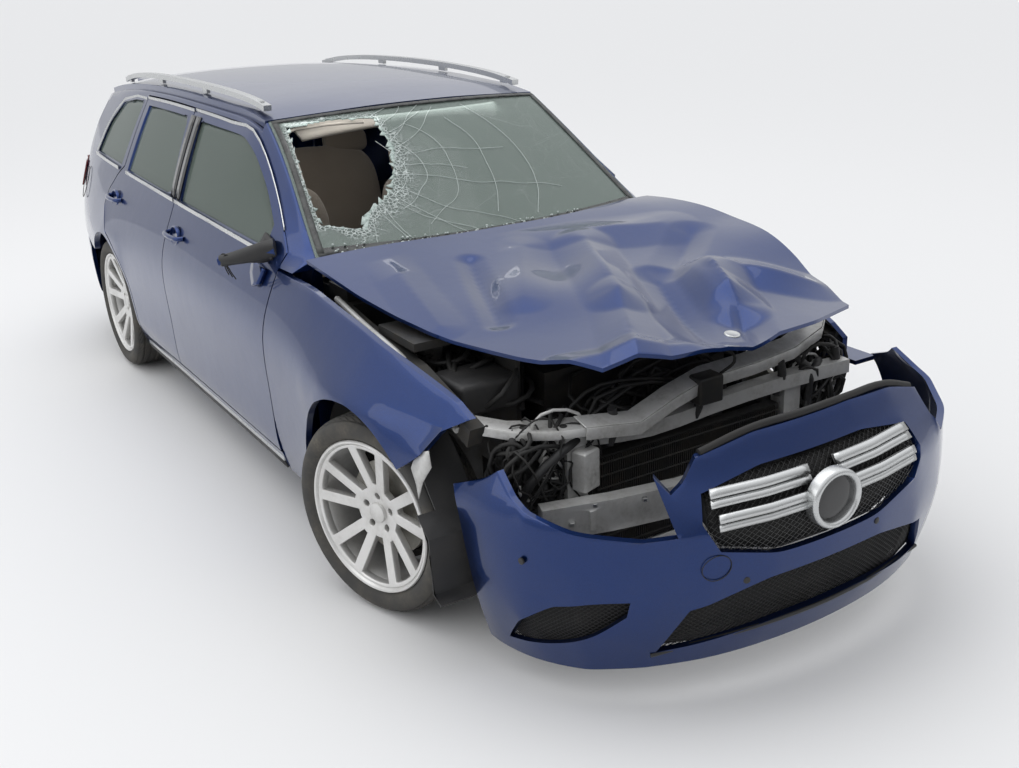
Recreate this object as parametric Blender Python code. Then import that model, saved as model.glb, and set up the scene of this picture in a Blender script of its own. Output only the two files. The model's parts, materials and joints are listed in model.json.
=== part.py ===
"""A crashed estate car: blue, standing on its wheels with the steering turned to the left. Its front
bumper cover has come away, the bonnet is buckled, the headlamps and mirrors are gone and the
windscreen is broken. Metres, +Z up, +X to the car's left, the nose towards -Y."""

import math
from itertools import product

import bmesh
import bpy
from mathutils import Matrix, Vector

# Driving dimensions
WHEELBASE = 2.84
FRONT_AXLE_Y = -1.40
TRACK_HALF = 0.775
WHEEL_Z = 0.326
TYRE_RADIUS = 0.326
TYRE_WIDTH = 0.225
RIM_RADIUS = 0.251
RIM_SEAT = 0.241
RIM_WIDTH = 0.205
HUB_FACE = 0.062
HUB_BORE = 0.0315
SPINDLE_RADIUS = 0.0305
STAR_THICK = 0.028
STAR_DISH = 0.012
SPINDLE_END = HUB_FACE - STAR_THICK - 0.4 * STAR_DISH
DISC_RADIUS = 0.140
STEER_AT_REST = math.radians(17.5)
# The steering axis as (distance from the middle, height) of its low and high ends
KINGPIN_LOW = (0.720, 0.145)
KINGPIN_HIGH = (0.565, 0.845)
KINGPIN_AT_HUB = 0.680
ARCH_RADIUS = 0.372
ARCH_CENTRE_Z = 0.322
LINER_RADIUS = 0.396
LINER_FLAP = ((-0.455, 0.42), (-0.465, 0.25), (-0.505, 0.232))
SHUT_GAP = 0.007
SEAT_GAP = 0.0004
SKIN = 0.022
QUARTER_THICK = 0.030
DOOR_THICK = 0.095
FRAME_THICK = 0.034
PILLAR_THICK = 0.055
POST_GAP = 0.009
POST_INNER = 0.655
HINGE_POST_OUTER = 0.722
HINGE_LEAF_HALF = 0.785
HINGE_RISE = (0.42, 0.70)
CORNER_THICK = 0.05
ROOF_THICK = 0.028
TAILGATE_THICK = 0.045
BONNET_THICK = 0.012
BUMPER_THICK = 0.022
GLASS_THICK = 0.005
GLASS_DEPTH = 0.010
DOOR_FRONT = 0.703
DOOR_MIDDLE = 1.885
DOOR_SILL_Z = 0.265
DOOR_TAPER = 0.024
SILL_BOTTOM = 0.19
BULKHEAD_BACK = 0.45
HINGE_X = 0.60
HINGE_BACK = 0.46
HEADER_BOW = 0.07
RAIL_INSET = 0.035
RAIL_LIFT = 0.036
TAIL_HALF = 0.74
TAIL_CURVE = 0.13
# The tailgate's hinge as (distance behind the front axle, height)
TAIL_HINGE = (3.569, 1.360)
MIRROR_STUB = ((-0.768, 0.785, 0.995), (-0.945, 0.885, 0.960))
# Each level that meshes of the body side are cut at, and each distance behind the front axle
LEVEL_CUTS = (0.32, 0.50, 0.72, 0.86, 0.945, 1.0, 1.2)
SIDE_CUTS = (-0.2, 0.1, 0.4, 0.7, 1.3, 1.9, 2.5, 2.84, 3.3, 3.6)
BUMPER_LOW = 0.14
BUMPER_SEAT_RUN = 0.95
# The front bumper has come off: its middle, how far it has turned about the vertical, and how far its
# left end stands up
BUMPER_AT = (0.02, -1.12)
BUMPER_YAW = math.radians(-3.0)
BUMPER_ROLL = math.radians(2.5)
# Half of each bumper's plan, as (across, depth), from the middle outwards
BUMPER_PLAN = ((0, 0), (0.20, 0.012), (0.38, 0.045), (0.54, 0.115), (0.68, 0.225), (0.775, 0.36),
               (0.815, 0.50), (0.825, 0.66))
REAR_PLAN = ((0, 0), (0.30, 0.014), (0.52, 0.060), (0.70, 0.150), (0.80, 0.270), (0.865, 0.50), (0.895, 0.70))
BUMPER_TUCK = ((0.15, 0.055), (0.30, 0.012), (0.48, 0.0), (0.58, 0.015), (0.67, 0.080), (0.76, 0.135))
# Holes in the bumper, as (distance along it from the middle, height)
GRILLE_HOLE = ((-0.16, 0.45), (0.16, 0.45), (0.35, 0.50), (0.40, 0.58), (0.395, 0.645), (0.20, 0.678),
               (-0.20, 0.678), (-0.395, 0.645), (-0.40, 0.58), (-0.35, 0.50))
INTAKE_HOLE = ((-0.52, 0.195), (-0.14, 0.230), (0.14, 0.230), (0.52, 0.195), (0.43, 0.335), (0.20, 0.385),
               (-0.20, 0.385), (-0.43, 0.335))
FOG_HOLE = ((0.60, 0.33), (0.68, 0.265), (0.80, 0.215), (0.99, 0.18), (0.92, 0.27), (0.81, 0.345),
            (0.70, 0.37), (0.59, 0.377))
GRILLE_BARS = (0.575, 0.632)
GRILLE_BAR_HALF = 0.018
GRILLE_DISC_Z = 0.565
GRILLE_DISC_RADIUS = 0.082
# The bumper's edges as (distance along it from the middle, height); the headlamps left a hollow on each side
BUMPER_TOP_LEFT = ((1.05, 0.665), (0.96, 0.622), (0.88, 0.596), (0.78, 0.573), (0.67, 0.560), (0.58, 0.560),
                   (0.55, 0.62), (0.57, 0.69), (0.42, 0.735), (0.20, 0.752))
BUMPER_TOP_RIGHT = ((-0.20, 0.752), (-0.40, 0.722), (-0.445, 0.668), (-0.48, 0.648), (-0.53, 0.69),
                    (-0.495, 0.62), (-0.465, 0.553), (-0.57, 0.552), (-0.67, 0.560), (-0.78, 0.573),
                    (-0.88, 0.596), (-0.96, 0.622), (-1.05, 0.665))
BUMPER_LOW_EDGE = ((1.15, 0.50), (1.105, 0.325), (1.10, 0.13), (0.69, 0.13), (0.54, BUMPER_LOW),
                   (0.2, BUMPER_LOW))
FENDER_NOSE_RIGHT = ((-0.42, 0.762), (-0.455, 0.748), (-0.40, 0.71), (-0.365, 0.64), (-0.32, 0.60))
FENDER_NOSE_LEFT = ((-0.46, 0.752), (-0.49, 0.70), (-0.42, 0.60), (-0.33, 0.60))
# The hole in the windscreen, as (across from -1 to 1, share up the glass)
SCREEN_HOLE = ((-0.93, 0.20), (-0.71, 0.14), (-0.66, 0.24), (-0.48, 0.37), (-0.35, 0.63), (-0.35, 0.88),
               (-0.63, 0.92), (-0.92, 0.90), (-0.94, 0.55))
BONNET_OUTLINE = ((-0.39, -0.64), (-0.15, -0.70), (0.13, -0.71), (0.38, -0.68), (0.61, -0.60),
                  (0.72, -0.25), (0.765, 0.15), (0.73, 0.585), (0.50, 0.545), (0.2, 0.495), (-0.2, 0.495),
                  (-0.50, 0.545), (-0.735, 0.585), (-0.70, 0.25), (-0.64, -0.12), (-0.52, -0.42))
BONNET_FOLDS = (
    # across, distance behind the front axle, reach, height
    (-0.18, -0.10, 0.26, 0.050),
    (0.36, -0.22, 0.26, 0.055),
    (0.60, -0.05, 0.22, 0.030),
    (0.05, 0.15, 0.20, -0.030),
    (0.80, -0.10, 0.45, 0.120),
    (0.80, 0.30, 0.45, 0.100),
)
# The line of the rear face, as (height, distance behind the front axle)
TAIL_LINE = ((0.55, 3.890), (0.62, 3.875), (0.75, 3.868), (0.95, 3.815), (1.0, 3.790), (1.17, 3.670),
             (1.33, 3.585))

# Body lines, each a row of (distance behind the front axle, value)
TOP_LINE = ((-0.50, 0.750), (-0.2, 0.830), (0.1, 0.890), (0.45, 0.938), (0.75, 0.945), (1.3, 0.962),
            (1.9, 0.980), (2.66, 0.996), (3.34, 1.005), (3.80, 1.000))
CANT_LINE = ((0.60, 0.985), (1.22, 1.378), (1.5, 1.400), (1.9, 1.411), (2.4, 1.408), (2.9, 1.387),
             (3.3, 1.350), (3.62, 1.300))
CANT_HALF = ((0.60, 0.705), (1.22, 0.598), (1.9, 0.612), (2.6, 0.610), (3.2, 0.592), (3.62, 0.570))
ROOF_CENTRE = ((1.15, 1.405), (1.5, 1.437), (1.9, 1.447), (2.5, 1.443), (3.1, 1.412), (3.62, 1.350))
# Half width of the body side at each level, by distance behind the front axle
SIDE_STATIONS = (-0.50, -0.2, 0.1, 0.7, 1.3, 1.9, 2.84, 3.3, 3.6, 3.80)
SIDE_LEVELS = (
    # height, half width at each station
    (0.19, (0.780, 0.815, 0.825, 0.825, 0.828, 0.832, 0.835, 0.810, 0.770, 0.700)),
    (0.32, (0.815, 0.868, 0.886, 0.866, 0.868, 0.872, 0.888, 0.862, 0.815, 0.745)),
    (0.50, (0.815, 0.876, 0.903, 0.870, 0.872, 0.876, 0.903, 0.875, 0.826, 0.752)),
    (0.72, (0.770, 0.855, 0.897, 0.889, 0.893, 0.897, 0.906, 0.876, 0.822, 0.745)),
)
TOP_HALF = (0.690, 0.745, 0.775, 0.795, 0.797, 0.797, 0.787, 0.765, 0.735, 0.672)
SHOULDER_BELOW_TOP = 0.10
GLASS_BULGE = 0.010


def ease(x, xs, ys):
    """A smooth curve through the points (xs, ys), level with its chords at the ends."""
    if x <= xs[0]:
        return ys[0] + (x - xs[0]) * (ys[1] - ys[0]) / (xs[1] - xs[0])
    if x >= xs[-1]:
        return ys[-1] + (x - xs[-1]) * (ys[-1] - ys[-2]) / (xs[-1] - xs[-2])
    i = max(k for k in range(len(xs) - 1) if xs[k] <= x)
    slopes = []
    for k in (i, i + 1):
        low, high = max(k - 1, 0), min(k + 1, len(xs) - 1)
        slopes.append((ys[high] - ys[low]) / (xs[high] - xs[low]))
    span = xs[i + 1] - xs[i]
    t = (x - xs[i]) / span
    return ((2 * t**3 - 3 * t**2 + 1) * ys[i] + (t**3 - 2 * t**2 + t) * span * slopes[0]
            + (3 * t**2 - 2 * t**3) * ys[i + 1] + (t**3 - t**2) * span * slopes[1])


def line(table, x):
    return ease(x, [row[0] for row in table], [row[1] for row in table])


def body_half(back, z):
    """Half width of the body side, belt and below, and of the side glass above."""
    top = line(TOP_LINE, back)
    top_half = ease(back, SIDE_STATIONS, TOP_HALF)
    if z <= top:
        heights = [row[0] for row in SIDE_LEVELS[:-1]]
        heights.append(min(SIDE_LEVELS[-1][0], top - SHOULDER_BELOW_TOP))
        halves = [ease(back, SIDE_STATIONS, row[1]) for row in SIDE_LEVELS]
        return ease(z, heights + [top], halves + [top_half])
    cant = max(line(CANT_LINE, back), top + 0.01)
    share = (z - top) / (cant - top)
    bulge = GLASS_BULGE * 4 * share * (1 - share) if share < 1 else 0
    return top_half + (line(CANT_HALF, back) - top_half) * share + bulge


def roof_z(x, back):
    half = line(CANT_HALF, back)
    centre, edge = line(ROOF_CENTRE, back), line(CANT_LINE, back)
    return centre + (edge - centre) * abs(x / half) ** 2.6


def world(x, back, z):
    return Vector((x, FRONT_AXLE_Y + back, z))


def arc(u, v, radius, start, end, steps):
    """Points of an arc about (u, v), from one angle to another in degrees."""
    angles = [math.radians(start + (end - start) * i / steps) for i in range(steps + 1)]
    return [(u + radius * math.cos(t), v + radius * math.sin(t)) for t in angles]


# Materials: name, colour, roughness, metallic
FINISHES = {
    "blue_paint": ((0.018, 0.045, 0.22), 0.28, 0.4),
    "silver_alloy": ((0.62, 0.62, 0.60), 0.35, 0.8),
    "bright_trim": ((0.75, 0.75, 0.74), 0.2, 0.9),
    "tyre_rubber": ((0.03, 0.03, 0.03), 0.85, 0.0),
    "black_plastic": ((0.025, 0.025, 0.025), 0.6, 0.0),
    "grey_metal": ((0.33, 0.32, 0.29), 0.5, 0.6),
    "dark_metal": ((0.06, 0.06, 0.06), 0.6, 0.5),
    "tinted_glass": ((0.25, 0.33, 0.29), 0.1, 0.0),
    "brown_fabric": ((0.10, 0.075, 0.055), 0.9, 0.0),
    "red_lens": ((0.35, 0.01, 0.01), 0.2, 0.0),
}


def material(name):
    found = bpy.data.materials.get(name)
    if found:
        return found
    made = bpy.data.materials.new(name)
    made.use_nodes = True
    colour, roughness, metallic = FINISHES[name]
    shader = made.node_tree.nodes["Principled BSDF"]
    shader.inputs["Base Color"].default_value = (*colour, 1)
    shader.inputs["Roughness"].default_value = roughness
    shader.inputs["Metallic"].default_value = metallic
    return made


def add_object(name, bm, finish):
    bmesh.ops.triangulate(bm, faces=bm.faces[:])
    bmesh.ops.recalc_face_normals(bm, faces=bm.faces[:])
    mesh = bpy.data.meshes.new(name)
    bm.to_mesh(mesh)
    bm.free()
    return place_mesh(name, mesh, finish)


def place_mesh(name, mesh, finish):
    made = bpy.data.objects.new(name, mesh)
    bpy.context.scene.collection.objects.link(made)
    if not mesh.materials:
        mesh.materials.append(material(finish))
    return made


def cut_region(loops, u_cuts, v_cuts):
    """Fills the outline and its holes in the flat, in cells bounded by the cut lines."""
    bm = bmesh.new()
    for loop in loops:
        verts = [bm.verts.new((u, v, 0)) for u, v in loop]
        for first, second in zip(verts, verts[1:] + verts[:1]):
            bm.edges.new((first, second))
    bmesh.ops.triangle_fill(bm, use_beauty=True, edges=bm.edges[:])
    for axis, cuts in enumerate((u_cuts, v_cuts)):
        normal = (1, 0, 0) if axis == 0 else (0, 1, 0)
        for cut in cuts:
            bmesh.ops.bisect_plane(bm, geom=bm.verts[:] + bm.edges[:] + bm.faces[:], dist=1e-6,
                                   plane_co=[cut * part for part in normal], plane_no=normal)

    def on_cut(edge):
        first, second = (vert.co for vert in edge.verts)
        return any(
            abs(first[axis] - cut) < 2e-6 and abs(second[axis] - cut) < 2e-6
            for axis, cuts in enumerate((u_cuts, v_cuts))
            for cut in cuts
        )

    inner = [edge for edge in bm.edges if len(edge.link_faces) == 2 and not on_cut(edge)]
    bmesh.ops.dissolve_edges(bm, edges=inner, use_verts=False)
    straight = []
    for vert in bm.verts:
        if len(vert.link_edges) == 2:
            ways = [(edge.other_vert(vert).co - vert.co).normalized() for edge in vert.link_edges]
            if ways[0].dot(ways[1]) < -0.999999:
                straight.append(vert)
    bmesh.ops.dissolve_verts(bm, verts=straight)
    return bm


def panel(name, loops, u_cuts, v_cuts, outer, inner, finish):
    """A closed panel between two surfaces, each a function of the flat outline's coordinates."""
    bm = cut_region(loops, u_cuts, v_cuts)
    bmesh.ops.triangulate(bm, faces=bm.faces[:])
    made = bmesh.ops.extrude_face_region(bm, geom=bm.faces[:], use_keep_orig=True)
    backs = {item for item in made["geom"] if isinstance(item, bmesh.types.BMVert)}
    for vert in bm.verts:
        surface = inner if vert in backs else outer
        vert.co = surface(vert.co.x, vert.co.y)
    return add_object(name, bm, finish)


def box(bm, low, high, turn=None):
    """A box between two corners. turn is a matrix applied about the box's centre."""
    low, high = Vector(low), Vector(high)
    matrix = Matrix.Translation((low + high) / 2) @ (turn or Matrix()).to_4x4()
    matrix = matrix @ Matrix.Diagonal((*(high - low), 1))
    bmesh.ops.create_cube(bm, size=1, matrix=matrix)


def rod(bm, start, end, radius, sides=12, end_radius=None):
    start, end = Vector(start), Vector(end)
    way = end - start
    matrix = Matrix.Translation((start + end) / 2) @ way.to_track_quat("Z", "Y").to_matrix().to_4x4()
    bmesh.ops.create_cone(bm, cap_ends=True, segments=sides, radius1=radius,
                          radius2=end_radius or radius, depth=way.length, matrix=matrix)


def beam(bm, path, width, height):
    """A rectangular beam along a path of points, its width level and its height upright."""
    rings = []
    for i, point in enumerate(path):
        point = Vector(point)
        way = (Vector(path[min(i + 1, len(path) - 1)]) - Vector(path[max(i - 1, 0)])).normalized()
        across = way.cross(Vector((0, 0, 1))).normalized() * width / 2
        up = across.cross(way).normalized() * height / 2
        rings.append([bm.verts.new(point + a * across + b * up)
                      for a, b in ((-1, -1), (1, -1), (1, 1), (-1, 1))])
    for first, second in zip(rings, rings[1:]):
        for k in range(4):
            bm.faces.new((first[k], first[(k + 1) % 4], second[(k + 1) % 4], second[k]))
    bm.faces.new(rings[0][::-1])
    bm.faces.new(rings[-1])


def lathe(bm, profile, segments, matrix):
    """Turns a closed profile of (radius, along) about the local Z axis, then places it."""
    rings = []
    for radius, along in profile:
        count = segments if radius else 1
        rings.append([
            bm.verts.new(matrix @ Vector((radius * math.cos(t), radius * math.sin(t), along)))
            for t in (2 * math.pi * k / segments for k in range(count))
        ])
    for first, second in zip(rings, rings[1:] + rings[:1]):
        if len(first) == 1 and len(second) == 1:
            continue
        for k in range(segments):
            after = (k + 1) % segments
            corners = [first[k % len(first)], first[after % len(first)],
                       second[after % len(second)], second[k % len(second)]]
            bm.faces.new(dict.fromkeys(corners))


def weld(name, pieces, finish):
    """One solid from several overlapping closed shapes, each drawn by a function of a bmesh."""
    shapes = []
    for i, draw in enumerate(pieces):
        bm = bmesh.new()
        draw(bm)
        shapes.append(add_object(name if i == 0 else f"{name}_shape_{i}", bm, finish))
    first = shapes[0]
    for other in shapes[1:]:
        union = first.modifiers.new("Join", "BOOLEAN")
        union.operation = "UNION"
        union.object = other
    bpy.context.view_layer.update()
    graph = bpy.context.evaluated_depsgraph_get()
    joined = bpy.data.meshes.new_from_object(first.evaluated_get(graph))
    first.modifiers.clear()
    first.data = joined
    for other in shapes[1:]:
        bpy.data.objects.remove(other)
    return first


def strip(bm, path, x_low, x_high, thickness):
    """A sheet that follows a path of (distance behind the front axle, height), thick to its right."""
    shifted = []
    for i, point in enumerate(path):
        before, after = Vector(path[max(i - 1, 0)]), Vector(path[min(i + 1, len(path) - 1)])
        way = (after - before).normalized()
        shifted.append(Vector(point) + Vector((way.y, -way.x)) * thickness)
    outline = [Vector(point) for point in path] + shifted[::-1]
    ends = [[bm.verts.new(world(x, *point)) for point in outline] for x in (x_low, x_high)]
    count = len(path)
    for k in range(len(outline)):
        after = (k + 1) % len(outline)
        bm.faces.new((ends[0][k], ends[0][after], ends[1][after], ends[1][k]))
    for end in ends:
        for k in range(count - 1):
            bm.faces.new((end[k], end[k + 1], end[-k - 2], end[-k - 1]))


def box_at(x, back, z, turn=None):
    """Draws a box from three ranges: across, behind the front axle and up."""

    def draw(bm):
        box(bm, world(x[0], back[0], z[0]), world(x[1], back[1], z[1]), turn)

    return draw


def beam_at(path, width, height):
    return lambda bm: beam(bm, [world(*point) for point in path], width, height)


def rod_at(start, end, radius, sides=12, end_radius=None):
    return lambda bm: rod(bm, world(*start), world(*end), radius, sides, end_radius)


def strip_at(path, x_low, x_high, thickness):
    return lambda bm: strip(bm, path, x_low, x_high, thickness)


def wheel_place(side, back, turned):
    """Where a wheel stands: local Z is its axis, pointing out of the car."""
    if not back:
        offset = Vector((side * (TRACK_HALF - KINGPIN_AT_HUB), 0, 0))
        centre = world(side * KINGPIN_AT_HUB, 0, WHEEL_Z)
        centre += Matrix.Rotation(turned, 3, "Z") @ offset
    else:
        centre = world(side * TRACK_HALF, back, WHEEL_Z)
    out = Matrix.Rotation(side * math.pi / 2, 4, "Y")
    return Matrix.Translation(centre) @ Matrix.Rotation(turned, 4, "Z") @ out


WHEELS = (
    # name, side, distance behind the front axle, angle turned at rest
    ("front_right", -1, 0.0, STEER_AT_REST),
    ("front_left", 1, 0.0, STEER_AT_REST),
    ("rear_right", -1, WHEELBASE, 0.0),
    ("rear_left", 1, WHEELBASE, 0.0),
)
SIDES = (("right", -1), ("left", 1))


def add_wheels():
    half = TYRE_WIDTH / 2
    bead = RIM_WIDTH / 2 - 0.0135
    tyre = [(RIM_SEAT + SEAT_GAP, bead), (RIM_RADIUS + 0.001, bead + 0.003), (0.285, half),
            (0.310, half - 0.006), (TYRE_RADIUS - 0.001, half - 0.030), (TYRE_RADIUS, 0.0)]
    tyre += [(radius, -along) for radius, along in tyre[-2::-1]]
    edge = RIM_WIDTH / 2
    well = RIM_RADIUS - 0.036
    barrel = [(RIM_SEAT, bead + 0.001), (RIM_RADIUS, bead + 0.004), (RIM_RADIUS, edge), (well, 0.03),
              (RIM_RADIUS - 0.022, -edge + 0.006), (RIM_RADIUS, -edge), (RIM_RADIUS, -bead - 0.004),
              (RIM_SEAT, -bead - 0.001)]
    hub = [(HUB_BORE, -0.032), (DISC_RADIUS, -0.032), (DISC_RADIUS, -0.006), (0.062, -0.006),
           (0.062, HUB_FACE + 0.006), (0, HUB_FACE + 0.006), (0, HUB_FACE - 0.01),
           (HUB_BORE, HUB_FACE - 0.01)]
    rim_edge = arc(0, 0, well + 0.008, 3, 345, 19)
    windows = []
    for spoke in range(5):
        turn = 72 * spoke
        windows.append([*arc(0, 0, 0.200, turn + 16, turn + 56, 2), *arc(0, 0, 0.078, turn + 43, turn + 29, 1)])

    def star_face(along):
        return lambda u, v: Vector((u, v, along - STAR_DISH * math.hypot(u, v) / RIM_RADIUS))

    for name, side, back, turned in WHEELS:
        place = wheel_place(side, back, turned)
        bm = bmesh.new()
        lathe(bm, tyre, 30, place)
        add_object(f"tyre_{name}", bm, "tyre_rubber")
        rim = weld(f"rim_{name}", [lambda bm: lathe(bm, barrel, 30, Matrix()),
                                   lambda bm: lathe(bm, hub, 14, Matrix())], "silver_alloy")
        star = panel("star", [rim_edge, *windows], (), (), star_face(HUB_FACE), star_face(HUB_FACE - STAR_THICK),
                     "silver_alloy")
        join_object(rim, star)
        rim.data.transform(place)


def kingpin(side, z):
    """The point of the steering axis at this height."""
    share = (z - KINGPIN_LOW[1]) / (KINGPIN_HIGH[1] - KINGPIN_LOW[1])
    return side * (KINGPIN_LOW[0] + (KINGPIN_HIGH[0] - KINGPIN_LOW[0]) * share), 0.0, z


def add_knuckles():
    for name, side in SIDES:
        place = wheel_place(side, 0.0, STEER_AT_REST)

        def spindle(bm, place=place):
            lathe(bm, [(0, -0.10), (SPINDLE_RADIUS + 0.02, -0.10), (SPINDLE_RADIUS + 0.02, -0.0335),
                       (SPINDLE_RADIUS, -0.0335), (SPINDLE_RADIUS, SPINDLE_END), (0, SPINDLE_END)],
                  14, place)

        def foot(bm, side=side):
            rod(bm, world(*kingpin(side, KINGPIN_LOW[1] + 0.004)), world(*kingpin(side, 0.20)), 0.014)

        def post(bm, side=side):
            rod(bm, world(*kingpin(side, 0.18)), world(*kingpin(side, 0.56)), 0.020)

        def spring(bm, side=side):
            rod(bm, world(*kingpin(side, 0.55)), world(*kingpin(side, KINGPIN_HIGH[1])), 0.017)

        def cup(bm, side=side):
            rod(bm, world(*kingpin(side, 0.69)), world(*kingpin(side, KINGPIN_HIGH[1] - 0.01)), 0.055)

        weld(f"knuckle_{name}", [spindle, foot, post, spring, cup], "dark_metal")


def inset(points, distance):
    """The polygon moved inwards by a distance."""
    area = sum(a[0] * b[1] - b[0] * a[1] for a, b in zip(points, points[1:] + points[:1]))
    turn = 1 if area > 0 else -1
    moved = []
    for k, point in enumerate(points):
        here = Vector(point)
        first = (here - Vector(points[k - 1])).normalized()
        second = (Vector(points[(k + 1) % len(points)]) - here).normalized()
        normals = [Vector((-way.y, way.x)) * turn for way in (first, second)]
        half = (normals[0] + normals[1]).normalized()
        moved.append(tuple(here + half * distance / max(half.dot(normals[0]), 0.3)))
    return moved


def under_cant(back, drop):
    return back, line(CANT_LINE, back) - drop


def door_thickness(back, z):
    """Thick below the glass, and a thin frame round it."""
    top = line(TOP_LINE, back)
    share = min(max((z - top + 0.03) / 0.05, 0), 1)
    return DOOR_THICK + (FRAME_THICK - DOOR_THICK) * share


def body_inner(back, z):
    """The inner face of the body side frame: sill, pillars and quarter panel."""
    if z < DOOR_SILL_Z + 0.002 and back < WHEELBASE - 0.2 or (z < 1.0 and back < 0.72):
        return POST_INNER
    thick = PILLAR_THICK if z > 1.04 or back < 1.3 else QUARTER_THICK
    return body_half(back, z) - thick


def post_outer(back, z):
    """The outer face of the pillars behind the doors, clear of the doors' inner face."""
    if back < 1:
        return HINGE_POST_OUTER if z < 0.87 else body_half(back, z) - DOOR_THICK - POST_GAP
    share = min(max((z - 1.02) / 0.08, 0), 1)
    return body_half(back, z) - DOOR_THICK + (DOOR_THICK - FRAME_THICK) * share - POST_GAP


def post_inner(back, z):
    return min(POST_INNER + 0.004, body_half(back, z) - PILLAR_THICK - 0.035)


def skin_panel(name, side, loops, outer_half, inner_half, finish, taper=None, u_cuts=(), v_cuts=()):
    """A panel of the body side, outlined by (distance behind the front axle, height)."""

    def outer(back, z):
        return world(side * outer_half(back, z), back, z)

    def inner(back, z):
        shift = taper(back) if taper else 0
        return world(side * inner_half(back, z), back - shift, z)

    return panel(name, loops, u_cuts or SIDE_CUTS, v_cuts or LEVEL_CUTS, outer, inner, finish)


def front_opening():
    half = SHUT_GAP / 2
    pillar = [under_cant(back, 0.055) for back in (1.2, 1.06, 0.9)]
    rail = [under_cant(back, 0.045) for back in (1.7, 1.5, 1.3)]
    return [(DOOR_FRONT, DOOR_SILL_Z), (DOOR_MIDDLE + half, DOOR_SILL_Z), (DOOR_MIDDLE + half, 0.98),
            under_cant(DOOR_MIDDLE + 0.047 + half, 0.045), *rail, *pillar, under_cant(DOOR_FRONT, 0.055)]


def rear_opening():
    half = SHUT_GAP / 2
    radius = ARCH_RADIUS + 0.022
    low = 180 + math.degrees(math.asin((ARCH_CENTRE_Z - DOOR_SILL_Z) / radius))
    arch = arc(WHEELBASE, ARCH_CENTRE_Z, radius, low, 100, 7)
    rail = [under_cant(back, 0.045) for back in (2.645, 2.4, 2.15)]
    return [(DOOR_MIDDLE - half, DOOR_SILL_Z), *arch, (2.872, 0.83), (2.872, 0.90), (2.80, 0.985),
            (2.72, 1.03), *rail, under_cant(DOOR_MIDDLE + 0.047 - half, 0.045),
            (DOOR_MIDDLE - half, 0.98)]


def front_glass():
    rail = [under_cant(back, 0.088) for back in (1.6, 1.35)]
    pillar = [under_cant(back, 0.10) for back in (1.2, 1.0)]
    return [(0.86, 0.985), (1.815, 1.002), under_cant(1.848, 0.088), *rail, *pillar,
            under_cant(0.87, 0.105)]


def rear_glass():
    rail = [under_cant(back, 0.088) for back in (2.4, 2.2)]
    return [(1.955, 1.004), (2.655, 1.014), under_cant(2.585, 0.088), *rail, under_cant(1.985, 0.088)]


def quarter_glass():
    return [(2.775, 1.022), (3.32, 1.022), (3.24, 1.17), (3.08, 1.285), (2.85, 1.318), (2.69, 1.325)]


def add_doors():
    doors = (
        # name, opening, glass, hinge, where the inner face starts to taper, where the taper is full
        ("front", front_opening(), front_glass(), DOOR_FRONT - 0.009, 1.83, 1.88),
        ("rear", rear_opening(), rear_glass(), DOOR_MIDDLE - 0.009, 2.2, 2.4),
    )
    for side_name, side in SIDES:
        for name, opening, glass, _, start, full in doors:
            def taper(back, start=start, full=full):
                return DOOR_TAPER * min(max((back - start) / (full - start), 0), 1)

            door = f"door_{name}_{side_name}"
            made = skin_panel(door, side, [inset(opening, SHUT_GAP), glass[::-1]], body_half,
                              lambda back, z: body_half(back, z) - door_thickness(back, z),
                              "blue_paint", taper)
            if name == "front" and side < 0:
                join_shape(made, rod_at(*MIRROR_STUB, 0.030, 8, 0.016))

            def face(depth):
                def at(back, z):
                    share = depth / door_thickness(back, z)
                    return world(side * (body_half(back, z) - depth), back - taper(back) * share, z)

                return at

            panel(f"{door}_glass", [inset(glass, SEAT_GAP)], SIDE_CUTS, LEVEL_CUTS,
                  face(GLASS_DEPTH), face(GLASS_DEPTH + GLASS_THICK), "tinted_glass")


def join_shape(first, draw):
    """Joins one more closed shape to an object."""
    bm = bmesh.new()
    draw(bm)
    other = add_object(f"{first.name}_shape", bm, first.data.materials[0].name)
    union = first.modifiers.new("Join", "BOOLEAN")
    union.operation = "UNION"
    union.object = other
    bpy.context.view_layer.update()
    graph = bpy.context.evaluated_depsgraph_get()
    joined = bpy.data.meshes.new_from_object(first.evaluated_get(graph))
    first.modifiers.clear()
    first.data = joined
    bpy.data.objects.remove(other)


def tail_back(x, z):
    """The rear face of the body, as a distance behind the front axle."""
    return line(TAIL_LINE, z) - TAIL_CURVE * (abs(x) / TAIL_HALF) ** 2.5


def join_object(first, other):
    union = first.modifiers.new("Join", "BOOLEAN")
    union.operation = "UNION"
    union.object = other
    bpy.context.view_layer.update()
    graph = bpy.context.evaluated_depsgraph_get()
    joined = bpy.data.meshes.new_from_object(first.evaluated_get(graph))
    first.modifiers.clear()
    first.data = joined
    bpy.data.objects.remove(other)


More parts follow.
